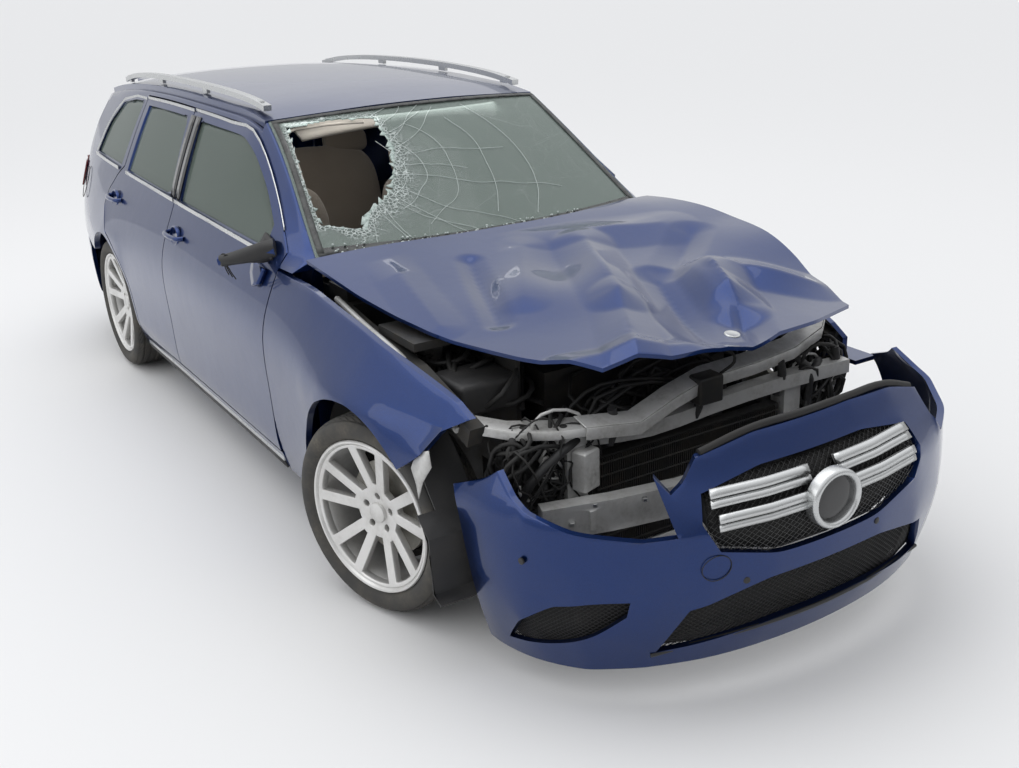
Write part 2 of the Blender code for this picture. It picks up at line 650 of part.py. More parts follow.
def add_side_frames():
    arch_low = math.degrees(math.asin((ARCH_CENTRE_Z - SILL_BOTTOM) / ARCH_RADIUS))
    arch = arc(WHEELBASE, ARCH_CENTRE_Z, ARCH_RADIUS, 180 + arch_low, 38, 14)
    front, rear = front_opening(), rear_opening()
    top = [under_cant(back, ROOF_THICK + 0.0008) for back in (3.537, 3.3, 2.9, 2.5, 2.2, 1.9, 1.6, 1.4, 1.2098)]
    screen = [under_cant(0.60 + 0.62 * share, 0.0003) for share in (0.978, 0.75, 0.5, 0.25, 0)]
    outline = [(DOOR_FRONT, SILL_BOTTOM), *arch, (3.30, 0.578), (3.735, 0.618), (3.735, 0.75),
               (3.70, 0.95), (3.675, 1.0), (3.58, 1.17), *top, *screen, (0.60, 0.950),
               (DOOR_FRONT, 0.950), *front[:3:-1], *rear[15:0:-1], (DOOR_FRONT, DOOR_SILL_Z)]
    cuts = sorted({*SIDE_CUTS, 0.72})
    for side_name, side in SIDES:
        made = skin_panel(f"side_frame_{side_name}", side, [outline, quarter_glass()[::-1]], body_half,
                          body_inner, "blue_paint", None, cuts, LEVEL_CUTS)
        for low, high, top_z in ((0.64, 0.80, 0.985), (1.80, 1.975, None)):
            post = [(low, SILL_BOTTOM + 0.01), (high, SILL_BOTTOM + 0.01)]
            if top_z:
                post += [(high, top_z), (low, top_z)]
            else:
                post += [under_cant(high, ROOF_THICK + 0.006), under_cant(low, ROOF_THICK + 0.006)]
            other = skin_panel("post", side, [post], post_outer, post_inner, "blue_paint", None,
                               cuts, sorted({*LEVEL_CUTS, 1.02, 1.1}))
            join_object(made, other)
        for back, rise in product((DOOR_FRONT, DOOR_MIDDLE - SHUT_GAP / 2), HINGE_RISE):
            low, high = sorted((side * 0.70, side * HINGE_LEAF_HALF))
            join_shape(made, box_at((low, high), (back + 0.0008, back + SHUT_GAP - SEAT_GAP),
                                    (rise, rise + 0.05)))
        levels = (0.63, 0.75, 0.95, 1.0, 1.17, 1.28)
        ends = (3.735, 3.735, 3.70, 3.675, 3.58, 3.54)
        corner = [(tailgate_half(z) + SHUT_GAP, z) for z in levels]
        corner += [(body_half(back, z) - 0.012, z) for back, z in zip(ends[::-1], levels[::-1])]

        def rear_face(depth):
            return lambda x, z: world(side * x, tail_back(x, z) - depth, z)

        other = panel("corner", [corner], (0.55, 0.62, 0.70), levels[1:-1], rear_face(0),
                      rear_face(CORNER_THICK), "blue_paint")
        join_object(made, other)

        def glass_face(depth):
            return lambda back, z: world(side * (body_half(back, z) - depth), back, z)

        panel(f"quarter_glass_{side_name}", [inset(quarter_glass(), SEAT_GAP)], SIDE_CUTS, LEVEL_CUTS,
              glass_face(GLASS_DEPTH), glass_face(GLASS_DEPTH + GLASS_THICK), "tinted_glass")


def tailgate_half(z):
    return ease(z, (0.60, 0.72, 1.0, 1.15, 1.33), (0.600, 0.612, 0.600, 0.570, 0.520))


def add_tailgate():
    levels = (0.63, 0.75, 0.95, 1.0, 1.17, 1.255)
    outline = [(tailgate_half(z), z) for z in levels] + [(0.30, 1.295), (0, 1.312), (-0.30, 1.295)]
    outline += [(-tailgate_half(z), z) for z in levels[::-1]]
    window = [(0.50, 1.01), (0.44, 1.235), (0, 1.262), (-0.44, 1.235), (-0.50, 1.01)]

    def face(depth):
        return lambda x, z: world(x, tail_back(x, z) - depth, z)

    across = (-0.55, -0.4, -0.2, 0, 0.2, 0.4, 0.55)
    made = panel("tailgate", [outline, window[::-1]], across, levels[1:-1], face(0),
                 face(TAILGATE_THICK), "blue_paint")
    join_shape(made, box_at((-0.40, 0.40), (TAIL_HINGE[0] + 0.008, 3.715), (1.285, 1.335)))
    panel("tailgate_glass", [inset(window, SEAT_GAP)], across, levels[1:-1], face(GLASS_DEPTH),
          face(GLASS_DEPTH + GLASS_THICK), "tinted_glass")


def add_roof():
    stations = (1.4, 1.6, 1.9, 2.2, 2.5, 2.9, 3.3)
    rear = 3.562
    front = [(line(CANT_HALF, 1.22) * share, 1.22 - HEADER_BOW * (1 - share**2))
             for share in (-1, -0.6, -0.2, 0.2, 0.6, 1)]
    right = [(line(CANT_HALF, back), back) for back in (*stations, rear)]
    outline = front + right + [(-x, back) for x, back in right[::-1]]
    panel("roof_panel", [outline], (-0.5, -0.36, -0.2, 0, 0.2, 0.36, 0.5), stations,
          lambda x, back: world(x, back, roof_z(x, back)),
          lambda x, back: world(x, back, roof_z(x, back) - ROOF_THICK), "blue_paint")
    for _, side in SIDES:
        low, high = sorted((side * 0.24, side * 0.30))
        join_shape(bpy.data.objects["roof_panel"],
                   box_at((low, high), (3.53, TAIL_HINGE[0] + 0.0076), (1.312, 1.335)))
    for side_name, side in SIDES:
        feet = (1.36, 1.95, 2.6, 3.24)
        rail = []
        for back in (1.28, 1.45, 1.95, 2.6, 3.1, 3.30):
            across = line(CANT_HALF, back) - RAIL_INSET
            lift = RAIL_LIFT if 1.3 < back < 3.2 else 0.016
            rail.append((side * across, back, roof_z(across, back) + lift))
        pieces = [beam_at(rail, 0.032, 0.022)]
        for back in feet:
            across = line(CANT_HALF, back) - RAIL_INSET
            base = roof_z(across - 0.008, back) + 0.0012
            pieces.append(box_at((side * across - 0.008, side * across + 0.008), (back - 0.03, back + 0.03),
                                 (base, base + RAIL_LIFT - 0.006)))
        weld(f"roof_rail_{side_name}", pieces, "bright_trim")


def add_fenders():
    for side_name, side in SIDES:
        arch = arc(0, ARCH_CENTRE_Z, ARCH_RADIUS, 138, -20.8, 14)
        top = [(back, line(TOP_LINE, back) - 0.002) for back in (0.45, 0.1, -0.2, -0.38)]
        nose = FENDER_NOSE_RIGHT if side < 0 else FENDER_NOSE_LEFT
        outline = [(DOOR_FRONT, SILL_BOTTOM), (DOOR_FRONT, 0.938), *top, *nose, *arch]

        def inner_half(back, z):
            if back > 0.655 and z < 0.87:
                return HINGE_POST_OUTER + SEAT_GAP
            return body_half(back, z) - SKIN

        made = skin_panel(f"fender_{side_name}", side, [outline], body_half, inner_half, "blue_paint",
                          None, (-0.4, -0.2, 0, 0.1, 0.2, 0.4, 0.60, 0.66), LEVEL_CUTS)
        if side > 0:
            end = plan_runs(BUMPER_PLAN)[-1]
            guide = bumper_face(BUMPER_THICK)(end - 0.03, 0.59)
            reach = guide.y - FRONT_AXLE_Y
            join_shape(made, box_at((0.745, 0.812), (-0.415, -0.36), (0.58, 0.635)))
            join_shape(made, box_at((0.74, guide.x - 0.0039), (reach, -0.38), (guide.z - 0.015, guide.z)))


def screen_point(across, share, lift=0.0):
    """A point of the windscreen: across from -1 to 1, share up the glass from 0 to 1."""
    back = 0.60 + 0.62 * share
    bow = 0.12 - 0.05 * share
    rise = 0.027 * share
    level = 1 - across**2
    z = line(CANT_LINE, back) + rise * level
    half = line(CANT_HALF, back) * 0.985
    return world(half * across, back - bow * level - 0.53 * lift, z + 0.85 * lift)


def add_windscreen():
    outline = [(-1, 0), (1, 0), (1, 0.975), (-1, 0.975)]
    panel("windscreen", [outline, SCREEN_HOLE[::-1]], (-0.8, -0.5, -0.2, 0.1, 0.4, 0.7),
          (0.04, 0.25, 0.5, 0.75, 0.96), lambda u, v: screen_point(u, v, 0.0008 + GLASS_THICK),
          lambda u, v: screen_point(u, v, 0.0008), "tinted_glass")


def bonnet_z(x, back):
    """The buckled bonnet: its corners stay up, and folds run across it."""
    crown = 1 - (abs(x) / 0.80) ** 2.5
    base = ease(back, (-0.70, -0.3, 0.1, 0.60), (0.835, 0.855, 0.90, 0.985)) + 0.050 * crown
    fold = 0
    for centre_x, centre_back, width, height in BONNET_FOLDS:
        away = math.hypot((x - centre_x) / width, (back - centre_back) / (width * 0.8))
        fold += height * max(0, 1 - away)
    return base + fold


def add_bonnet():
    panel("bonnet", [list(BONNET_OUTLINE)], (-HINGE_X, -0.4, -0.2, 0, 0.2, 0.4, HINGE_X),
          (-0.45, -0.28, -0.1, 0.1, 0.28, HINGE_BACK),
          lambda x, back: world(x, back, bonnet_z(x, back)),
          lambda x, back: world(x, back, bonnet_z(x, back) - BONNET_THICK), "blue_paint")


def plan_point(table, run):
    """A point of a bumper's plan, by the distance run along it from the middle."""
    points = [Vector(row) for row in table]
    left = abs(run)
    for first, second in zip(points, points[1:]):
        length = (second - first).length
        if left <= length or second is points[-1]:
            at = first + (second - first) * left / length
            return Vector((math.copysign(at.x, run), at.y))
        left -= length


def plan_runs(table):
    runs = [0.0]
    for first, second in zip(table, table[1:]):
        runs.append(runs[-1] + math.dist(first, second))
    return runs


def bumper_place(side_x, depth, z, shell):
    """From the front bumper's own frame to the car: shifted, turned and dropped."""
    tuck = line(BUMPER_TUCK, z) + shell
    scale = 1 - tuck / 0.9
    point = Vector((side_x * scale, depth + tuck * (1 - (side_x / 0.83) ** 4)))
    turned = Matrix.Rotation(BUMPER_YAW, 2) @ point
    return world(BUMPER_AT[0] + turned.x, BUMPER_AT[1] + turned.y, z + turned.x * math.tan(BUMPER_ROLL))


def bumper_face(shell):
    def at(run, z):
        point = plan_point(BUMPER_PLAN, run)
        return bumper_place(point.x, point.y, z, shell)

    return at


def add_front_bumper():
    ends = plan_runs(BUMPER_PLAN)
    total = ends[-1]
    ends_top = [(total, 0.585), (total - 0.12, 0.635)]
    low = [(total - 0.02, 0.56), *BUMPER_LOW_EDGE]
    outline = [*ends_top, *BUMPER_TOP_LEFT, *BUMPER_TOP_RIGHT]
    outline += [(-run, z) for run, z in ends_top[::-1] + low] + low[::-1]
    holes = [GRILLE_HOLE[::-1], INTAKE_HOLE[::-1], FOG_HOLE[::-1], [(-run, z) for run, z in FOG_HOLE]]
    cuts = sorted({run for run in ends[1:-1]} | {-run for run in ends[1:-1]} | {0.0})
    panel("front_bumper", [outline, *holes], cuts, (0.25, 0.35, 0.45, 0.55, 0.62, 0.68), bumper_face(0),
          bumper_face(BUMPER_THICK), "blue_paint")
    made = panel("grille", [inset(list(GRILLE_HOLE), SEAT_GAP)], cuts, (0.55, 0.62),
                 bumper_face(0.008), bumper_face(0.026), "black_plastic")
    for z in GRILLE_BARS:
        low_z, high_z = z - GRILLE_BAR_HALF, z + GRILLE_BAR_HALF
        bar = [(-0.365, low_z), (0.365, low_z), (0.365, high_z), (-0.365, high_z)]
        other = panel("bar", [bar], cuts, (), bumper_face(-0.008), bumper_face(0.012), "bright_trim")
        join_object(made, other)
    ahead = bumper_place(0, 0, GRILLE_DISC_Z, -0.022)
    inside = bumper_place(0, 0, GRILLE_DISC_Z, 0.014)
    join_shape(made, lambda bm: rod(bm, inside, ahead, GRILLE_DISC_RADIUS, 24))


def add_rear_bumper():
    ends = plan_runs(REAR_PLAN)
    total = ends[-1]

    def face(shell):
        def at(run, z):
            point = plan_point(REAR_PLAN, run)
            inward = shell + ease(z, (0.20, 0.35, 0.5, 0.61), (0.05, 0.01, 0.0, 0.012))
            scale = 1 - inward / 0.88
            return world(point.x * scale, 3.92 - point.y - inward * (1 - (point.x / 0.875) ** 4), z)

        return at

    half = [(total, 0.30), (total, 0.545), (total - 0.25, 0.585), (0.55, 0.612), (0.2, 0.612)]
    low = [(0.2, 0.20), (0.7, 0.20), (total - 0.2, 0.23)]
    outline = low + half + [(-run, z) for run, z in half[::-1]] + [(-run, z) for run, z in low[::-1]]
    cuts = sorted({run for run in ends[1:-1]} | {-run for run in ends[1:-1]} | {0.0})
    panel("rear_bumper", [outline], cuts, (0.35, 0.5), face(0), face(BUMPER_THICK), "blue_paint")


def add_structure():
    floor_half = POST_INNER - SEAT_GAP
    pieces = [
        box_at((-floor_half, floor_half), (0.46, 2.42), (0.165, 0.195)),
        box_at((-0.12, 0.12), (0.46, 2.09), (0.17, 0.32)),
        box_at((-floor_half, floor_half), (BULKHEAD_BACK, BULKHEAD_BACK + 0.02), (0.165, 0.90)),
        box_at((-floor_half, floor_half), (BULKHEAD_BACK, 0.60), (0.86, 0.90)),
        box_at((-floor_half, floor_half), (2.38, 2.42), (0.165, 0.46)),
        box_at((-0.53, 0.53), (2.38, 3.77), (0.43, 0.46)),
        box_at((-0.52, 0.52), (2.63, 3.735), (0.45, 0.465)),
        box_at((-0.53, 0.53), (3.74, 3.77), (0.27, 0.60)),
        box_at((-0.02, 0.02), (3.75, 3.92 - BUMPER_THICK - 0.0022), (0.49, 0.51)),
        box_at((-0.53, 0.53), (3.20, 3.75), (0.28, 0.31)),
        box_at((-0.53, 0.53), (3.20, 3.23), (0.28, 0.45)),
    ]
    tub = arc(WHEELBASE, ARCH_CENTRE_Z, ARCH_RADIUS + 0.045, 175, 0, 8)
    for side_name, side in SIDES:
        low, high = sorted((side * 0.525, side * 0.775))
        pieces.append(strip_at(tub, low, high, -0.012))
        low, high = sorted((side * 0.525, side * 0.545))
        wall = arc(WHEELBASE, ARCH_CENTRE_Z, ARCH_RADIUS + 0.066, 165, 15, 7)
        pieces.append(flat_at(wall, low, high))
        rest = bonnet_z(side * HINGE_X, HINGE_BACK) - BONNET_THICK - 0.0016
        pieces.append(rod_at((side * HINGE_X, HINGE_BACK, 0.88), (side * HINGE_X, HINGE_BACK, rest), 0.006, 8))
    weld("platform", pieces, "blue_paint")


def flat_at(outline, x_low, x_high):
    """A flat plate standing along the car."""

    def draw(bm):
        ends = [[bm.verts.new(world(x, *point)) for point in outline] for x in (x_low, x_high)]
        for k in range(len(outline)):
            after = (k + 1) % len(outline)
            bm.faces.new((ends[0][k], ends[0][after], ends[1][after], ends[1][k]))
        bm.faces.new(ends[0])
        bm.faces.new(ends[1][::-1])

    return draw


def add_front_end():
    rail_end = BULKHEAD_BACK - SEAT_GAP
    pieces = [box_at((-0.38, 0.38), (-0.16, 0.16), (0.16, 0.22))]
    for name, side in SIDES:
        low, high = sorted((side * 0.38, side * 0.455))
        pieces.append(box_at((low, high), (-0.50, rail_end), (0.43, 0.54)))
        low, high = sorted((side * 0.3605, side * 0.405))
        pieces.append(box_at((low, high), (0.02, 0.14), (0.17, 0.45)))
        low, high = sorted((side * 0.445, side * 0.46))
        pieces.append(box_at((low, high), (-0.30, rail_end), (0.44, 0.87)))
        low, high = sorted((side * 0.45, side * 0.70))
        pieces.append(box_at((low, high), (-0.12, 0.12), (KINGPIN_HIGH[1] + 0.0044, KINGPIN_HIGH[1] + 0.03)))
        pieces.append(beam_at(((side * 0.690, -0.45, 0.69), (side * 0.705, -0.15, 0.79), (side * 0.71, 0.2, 0.83),
                               (side * 0.69, 0.40, 0.84), (side * 0.69, rail_end, 0.84)), 0.05, 0.06))
        low, high = sorted((side * 0.60, side * 0.71))
        pieces.append(box_at((low, high), (rail_end - 0.04, rail_end), (0.82, 0.86)))
        pieces.append(beam_at(((side * 0.34, 0.0, 0.18), (side * 0.62, 0.0, 0.125),
                               (side * KINGPIN_LOW[0], 0.0, KINGPIN_LOW[1] - 0.012)), 0.05, 0.024))
    weld("front_frame", pieces, "blue_paint")
    bm = bmesh.new()
    box(bm, world(-0.36, -0.30, 0.2205), world(0.36, 0.30, 0.76))
    add_object("engine_block", bm, "dark_metal")
    front = -0.5005
    pieces = [beam_at(((-0.46, front - 0.03, 0.655), (-0.14, front - 0.03, 0.60), (0.05, front - 0.035, 0.63),
                       (0.40, front - 0.045, 0.645), (0.64, front - 0.070, 0.65)), 0.05, 0.045),
              box_at((-0.46, 0.60), (front - 0.06, front), (0.20, 0.25)),
              box_at((-0.455, -0.385), (front - 0.055, front), (0.21, 0.66)),
              box_at((0.385, 0.455), (front - 0.06, front), (0.21, 0.65))]
    weld("radiator_support", pieces, "grey_metal")
    bm = bmesh.new()
    box(bm, world(-0.36, front - 0.05, 0.2505), world(0.37, front - 0.012, 0.57))
    add_object("radiator", bm, "dark_metal")
    face = front - 0.0605
    pieces = [beam_at(((-0.57, -0.585, 0.44), (-0.17, -0.72, 0.45), (0.30, -0.70, 0.45), (0.58, -0.61, 0.45)),
                      0.05, 0.10),
              box_at((-0.45, -0.39), (-0.66, face), (0.41, 0.47)),
              box_at((0.39, 0.45), (-0.70, face), (0.41, 0.47))]
    weld("crash_beam", pieces, "dark_metal")
    for name, side in SIDES:
        path = arc(0, ARCH_CENTRE_Z, LINER_RADIUS, -12, 150, 10)
        path += [(-0.385, 0.475), (-0.440, 0.42)]
        low, high = sorted((side * 0.668, side * 0.800))
        pieces = [strip_at(path, low, high, -0.005)]
        if side < 0:
            pieces.append(strip_at([(-0.39, 0.47), *LINER_FLAP], -0.86, -0.65, -0.0055))
        if side < 0:
            foot = bumper_face(BUMPER_THICK)(-BUMPER_SEAT_RUN, 0.27)
            pieces.append(box_at((foot.x + 0.0034, -0.66), (-0.50, foot.y - FRONT_AXLE_Y + 0.004),
                                 (0.2215, 0.2285)))
        tab = body_half(0, LEVEL_CUTS[2]) - SKIN - 0.0024
        low, high = sorted((side * 0.79, side * tab))
        pieces.append(box_at((low, high), (-0.01, 0.01), (LEVEL_CUTS[2] - 0.008, LEVEL_CUTS[2])))
        weld(f"liner_{name}", pieces, "black_plastic")


def add_cabin():
    pieces = [box_at((-0.62, 0.62), (0.50, 0.80), (0.60, 0.8595)),
              box_at((-0.13, 0.13), (0.70, 1.00), (0.3208, 0.70)),
              box_at((-0.63, 0.63), (BULKHEAD_BACK + 0.0205, 0.52), (0.70, 0.84))]
    tilt = Matrix.Rotation(math.radians(-68), 4, "X")
    wheel = Matrix.Translation(world(0.36, 0.93, 0.90)) @ tilt

    def ring(bm):
        profile = [(0.187 + 0.014 * math.cos(t), 0.014 * math.sin(t))
                   for t in (k * math.pi / 3 for k in range(6))]
        lathe(bm, profile, 24, wheel)

    def spokes(bm):
        box(bm, (-0.185, -0.02, -0.01), (0.185, 0.02, 0.01))
        bmesh.ops.transform(bm, matrix=wheel, verts=bm.verts[:])

    def column(bm):
        rod(bm, wheel @ Vector((0, 0, 0.02)), world(0.36, 0.70, 0.76), 0.035)

    weld("dashboard", pieces + [ring, spokes, column], "black_plastic")
    for name, side in SIDES:
        x = side * 0.37
        lean = Matrix.Rotation(math.radians(-22), 4, "X")
        weld(f"seat_front_{name}", [
            box_at((x - 0.25, x + 0.25), (1.22, 1.72), (0.1955, 0.44)),
            box_at((x - 0.24, x + 0.24), (1.70, 1.82), (0.34, 1.00), lean),
            box_at((x - 0.12, x + 0.12), (1.86, 1.94), (0.93, 1.14), lean)], "brown_fabric")
    weld("rear_seat", [
        box_at((-0.60, 0.60), (2.10, 2.3795), (0.1955, 0.53)),
        box_at((-0.515, 0.515), (2.30, 2.56), (0.4605, 0.53)),
        box_at((-0.51, 0.51), (2.48, 2.60), (0.48, 1.02), Matrix.Rotation(math.radians(-16), 4, "X"))],
        "brown_fabric")


def add_rear_axle():
    pieces = [rod_at((-0.62, WHEELBASE, WHEEL_Z), (0.62, WHEELBASE, WHEEL_Z), 0.035)]
    for side_name, side in SIDES:
        place = wheel_place(side, WHEELBASE, 0.0)
        pieces.append(lambda bm, place=place: lathe(
            bm, [(0, -0.19), (SPINDLE_RADIUS + 0.02, -0.19), (SPINDLE_RADIUS + 0.02, -0.0335),
                 (SPINDLE_RADIUS, -0.0335), (SPINDLE_RADIUS, SPINDLE_END), (0, SPINDLE_END)],
            14, place))
        pieces.append(rod_at((side * 0.44, WHEELBASE, WHEEL_Z), (side * 0.44, WHEELBASE, 0.4295), 0.05))
    weld("rear_axle", pieces, "dark_metal")


bpy_objects = list(bpy.data.objects)
for old in bpy_objects:
    bpy.data.objects.remove(old)
add_structure()
add_side_frames()
add_roof()
add_fenders()
add_bonnet()
add_front_end()
add_front_bumper()
add_windscreen()
add_cabin()
add_doors()
add_tailgate()
add_rear_bumper()
add_rear_axle()
add_knuckles()
add_wheels()
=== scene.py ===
"""Looks for the crashed estate car: smooth painted panels, broken glass, wheels, trim and the torn front,
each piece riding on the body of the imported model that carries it."""

import json
import math
import random

import bmesh
import bpy
from mathutils import Matrix, Vector, noise

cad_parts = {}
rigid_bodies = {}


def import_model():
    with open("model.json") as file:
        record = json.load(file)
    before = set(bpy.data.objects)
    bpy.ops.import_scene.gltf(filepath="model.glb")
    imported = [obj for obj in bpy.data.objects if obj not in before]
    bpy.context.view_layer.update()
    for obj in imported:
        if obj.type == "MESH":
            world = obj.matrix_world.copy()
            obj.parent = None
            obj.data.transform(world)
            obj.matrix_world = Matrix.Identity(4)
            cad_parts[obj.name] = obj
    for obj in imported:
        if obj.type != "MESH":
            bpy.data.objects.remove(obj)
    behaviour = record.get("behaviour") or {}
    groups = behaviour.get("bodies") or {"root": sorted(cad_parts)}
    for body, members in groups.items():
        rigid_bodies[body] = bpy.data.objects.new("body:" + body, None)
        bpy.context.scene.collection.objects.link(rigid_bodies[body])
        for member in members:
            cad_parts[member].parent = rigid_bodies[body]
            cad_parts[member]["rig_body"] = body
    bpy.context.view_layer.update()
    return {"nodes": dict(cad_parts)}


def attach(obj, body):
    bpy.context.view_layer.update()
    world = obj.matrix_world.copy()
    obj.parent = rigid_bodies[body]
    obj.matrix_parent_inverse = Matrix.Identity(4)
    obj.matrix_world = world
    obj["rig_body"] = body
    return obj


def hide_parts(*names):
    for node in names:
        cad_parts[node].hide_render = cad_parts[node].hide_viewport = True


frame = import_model()
nodes = frame["nodes"]
FRONT_AXLE_Y = -1.40
WHEELBASE = 2.84
SIDES = (("right", -1), ("left", 1))


def world(x, back, z):
    return Vector((x, FRONT_AXLE_Y + back, z))


# Camera, fitted to the photograph

CAMERA_PLACE = (-2.157, -4.4525, 1.9856)
CAMERA_TURN, CAMERA_TILT, CAMERA_ROLL = 0.5511, 0.3547, -0.0341
FILM_WIDTH = 36
PHOTO_WIDTH = 1019
FOCAL_PIXELS = 1163.21
SHIFT_PIXELS = (-4.84, -12.20)


def set_camera():
    flat = math.cos(CAMERA_TILT)
    look = Vector((math.sin(CAMERA_TURN) * flat, math.cos(CAMERA_TURN) * flat, -math.sin(CAMERA_TILT)))
    level = look.cross(Vector((0, 0, 1))).normalized()
    rise = level.cross(look)
    across = math.cos(CAMERA_ROLL) * level + math.sin(CAMERA_ROLL) * rise
    up = math.cos(CAMERA_ROLL) * rise - math.sin(CAMERA_ROLL) * level
    data = bpy.data.cameras.new("camera")
    data.sensor_width = FILM_WIDTH
    data.lens = FOCAL_PIXELS / PHOTO_WIDTH * FILM_WIDTH
    data.shift_x, data.shift_y = (shift / PHOTO_WIDTH for shift in SHIFT_PIXELS)
    camera = bpy.data.objects.new("camera", data)
    place = Matrix((across, up, -look)).transposed().to_4x4()
    place.translation = CAMERA_PLACE
    camera.matrix_world = place
    bpy.context.scene.collection.objects.link(camera)
    bpy.context.scene.camera = camera


def area_light(name, place, aim, size, power):
    data = bpy.data.lights.new(name, "AREA")
    data.shape = "RECTANGLE"
    data.size, data.size_y = size
    data.energy = power
    light = bpy.data.objects.new(name, data)
    light.location = place
    light.rotation_euler = (Vector(aim) - Vector(place)).to_track_quat("-Z", "Y").to_euler()
    bpy.context.scene.collection.objects.link(light)


def set_studio():
    """A white studio, brighter overhead and dimmer low down in front of the car."""
    sky = bpy.data.worlds.new("studio")
    sky.use_nodes = True
    tree = sky.node_tree
    shade = tree.nodes["Background"]
    shade.inputs["Color"].default_value = (0.97, 0.98, 1.0, 1)
    way = put(tree, "SeparateXYZ", [("Vector", put(tree, "TexCoord").outputs["Generated"])]).outputs
    high = ramp(tree, way["Z"], 0.0, 0.75, 0.62, 1.30)
    front = ramp(tree, way["Y"], -0.9, 0.1, 0.50, 1.0)
    tree.links.new(worked(tree, "MULTIPLY", high, front), shade.inputs["Strength"])
    bpy.context.scene.world = sky
    for name, place, aim, size, power in (
            ("overhead", (-0.8, 0.2, 6.5), (0, 0, 0.5), (4, 8), 90),
            ("side", (-7.5, 0.5, 3.2), (0, 0, 0.7), (6, 3), 60),
            ("cabin fill", (-0.1, 0.25, 1.35), (-0.1, 0.2, 0.0), (0.9, 1.2), 4)):
        area_light(name, place, aim, size, power)
    bpy.context.scene.view_settings.view_transform = "Standard"


# Shared shader groups

def group(name, inputs, outputs):
    made = bpy.data.node_groups.new(name, "ShaderNodeTree")
    for label, kind, value in inputs:
        socket = made.interface.new_socket(label, in_out="INPUT", socket_type=kind)
        socket.default_value = value
    for label, kind in outputs:
        made.interface.new_socket(label, in_out="OUTPUT", socket_type=kind)
    return made, made.nodes.new("NodeGroupInput"), made.nodes.new("NodeGroupOutput")


def put(tree, kind, links=(), **settings):
    """Adds a node; links are (input, output socket or value)."""
    node = tree.nodes.new(f"ShaderNode{kind}")
    for key, value in settings.items():
        setattr(node, key, value)
    for label, source in links:
        if isinstance(source, bpy.types.NodeSocket):
            tree.links.new(source, node.inputs[label])
        else:
            node.inputs[label].default_value = source
    return node


def worked(tree, operation, *values, clamp=False):
    """The result of a sum on values or sockets."""
    return put(tree, "Math", enumerate(values), operation=operation, use_clamp=clamp).outputs[0]


def in_place(tree):
    return put(tree, "TexCoord").outputs["Object"]


def charted(tree, chart):
    """The two directions of a piece's own map."""
    where = put(tree, "UVMap", uv_map=chart)
    return put(tree, "SeparateXYZ", [("Vector", where.outputs["UV"])]).outputs


def cloud(tree, place, scale, detail, roughness=0.5):
    texture = put(tree, "TexNoise", [("Vector", place), ("Scale", scale), ("Detail", detail),
                                     ("Roughness", roughness)])
    return texture.outputs["Fac"]


def ramp(tree, source, low, high, to_low=0.0, to_high=1.0):
    node = put(tree, "MapRange", [("Value", source), ("From Min", low), ("From Max", high),
                                  ("To Min", to_low), ("To Max", to_high)])
    return node.outputs["Result"]


def mixed(tree, share, first, second):
    return put(tree, "Mix", [(0, share), (6, first), (7, second)], data_type="RGBA").outputs[2]


COLOR, FLOAT, VECTOR = "NodeSocketColor", "NodeSocketFloat", "NodeSocketVector"
TREAD_BLOCKS = 64.0


def make_soiling():
    """Dust and grime that vary over a surface."""
    made, given, out = group("soiling", [
        ("Clean", COLOR, (0.5, 0.5, 0.5, 1)), ("Dirt", COLOR, (0.3, 0.28, 0.25, 1)), ("Amount", FLOAT, 0.3),
        ("Scale", FLOAT, 6.0), ("Roughness", FLOAT, 0.4)], [("Color", COLOR), ("Roughness", FLOAT)])
    given = given.outputs
    place = in_place(made)
    broad = ramp(made, cloud(made, place, given["Scale"], 6.0, 0.65), 0.42, 0.72)
    speck = ramp(made, cloud(made, place, 90.0, 3.0), 0.35, 0.7, 0.5, 1.0)
    mask = worked(made, "MULTIPLY", worked(made, "MULTIPLY", broad, speck), given["Amount"], clamp=True)
    made.links.new(mixed(made, mask, given["Clean"], given["Dirt"]), out.inputs["Color"])
    rough = worked(made, "MULTIPLY_ADD", mask, 0.6, given["Roughness"], clamp=True)
    made.links.new(rough, out.inputs["Roughness"])
    return made


def make_grain():
    """Fine relief, as on moulded plastic, cast metal or paint."""
    made, given, out = group("grain", [("Scale", FLOAT, 300.0), ("Depth", FLOAT, 0.0004)],
                             [("Normal", VECTOR)])
    fine = cloud(made, in_place(made), given.outputs["Scale"], 2.0)
    bump = put(made, "Bump", [("Height", fine), ("Distance", given.outputs["Depth"]), ("Strength", 1.0)])
    made.links.new(bump.outputs["Normal"], out.inputs["Normal"])
    return made


SOILING = make_soiling()
GRAIN = make_grain()


def shader(name):
    made = bpy.data.materials.new(name)
    made.use_nodes = True
    return made, made.node_tree, made.node_tree.nodes["Principled BSDF"]


def soil(tree, skin, clean, dirt, amount, scale, roughness):
    """Lays the soiling over a material's colour and roughness."""
    node = put(tree, "Group", [("Clean", clean), ("Dirt", (*dirt, 1)), ("Amount", amount), ("Scale", scale),
                               ("Roughness", roughness)], node_tree=SOILING)
    tree.links.new(node.outputs["Color"], skin.inputs["Base Color"])
    tree.links.new(node.outputs["Roughness"], skin.inputs["Roughness"])


def roughen(tree, skin, scale, depth):
    """Gives a material the fine relief."""
    node = put(tree, "Group", [("Scale", scale), ("Depth", depth)], node_tree=GRAIN)
    tree.links.new(node.outputs["Normal"], skin.inputs["Normal"])


def raised(tree, skin, height, distance, strength, invert=False):
    """Gives a material a relief of its own."""
    bump = put(tree, "Bump", [("Height", height), ("Distance", distance), ("Strength", strength)],
               invert=invert)
    tree.links.new(bump.outputs["Normal"], skin.inputs["Normal"])


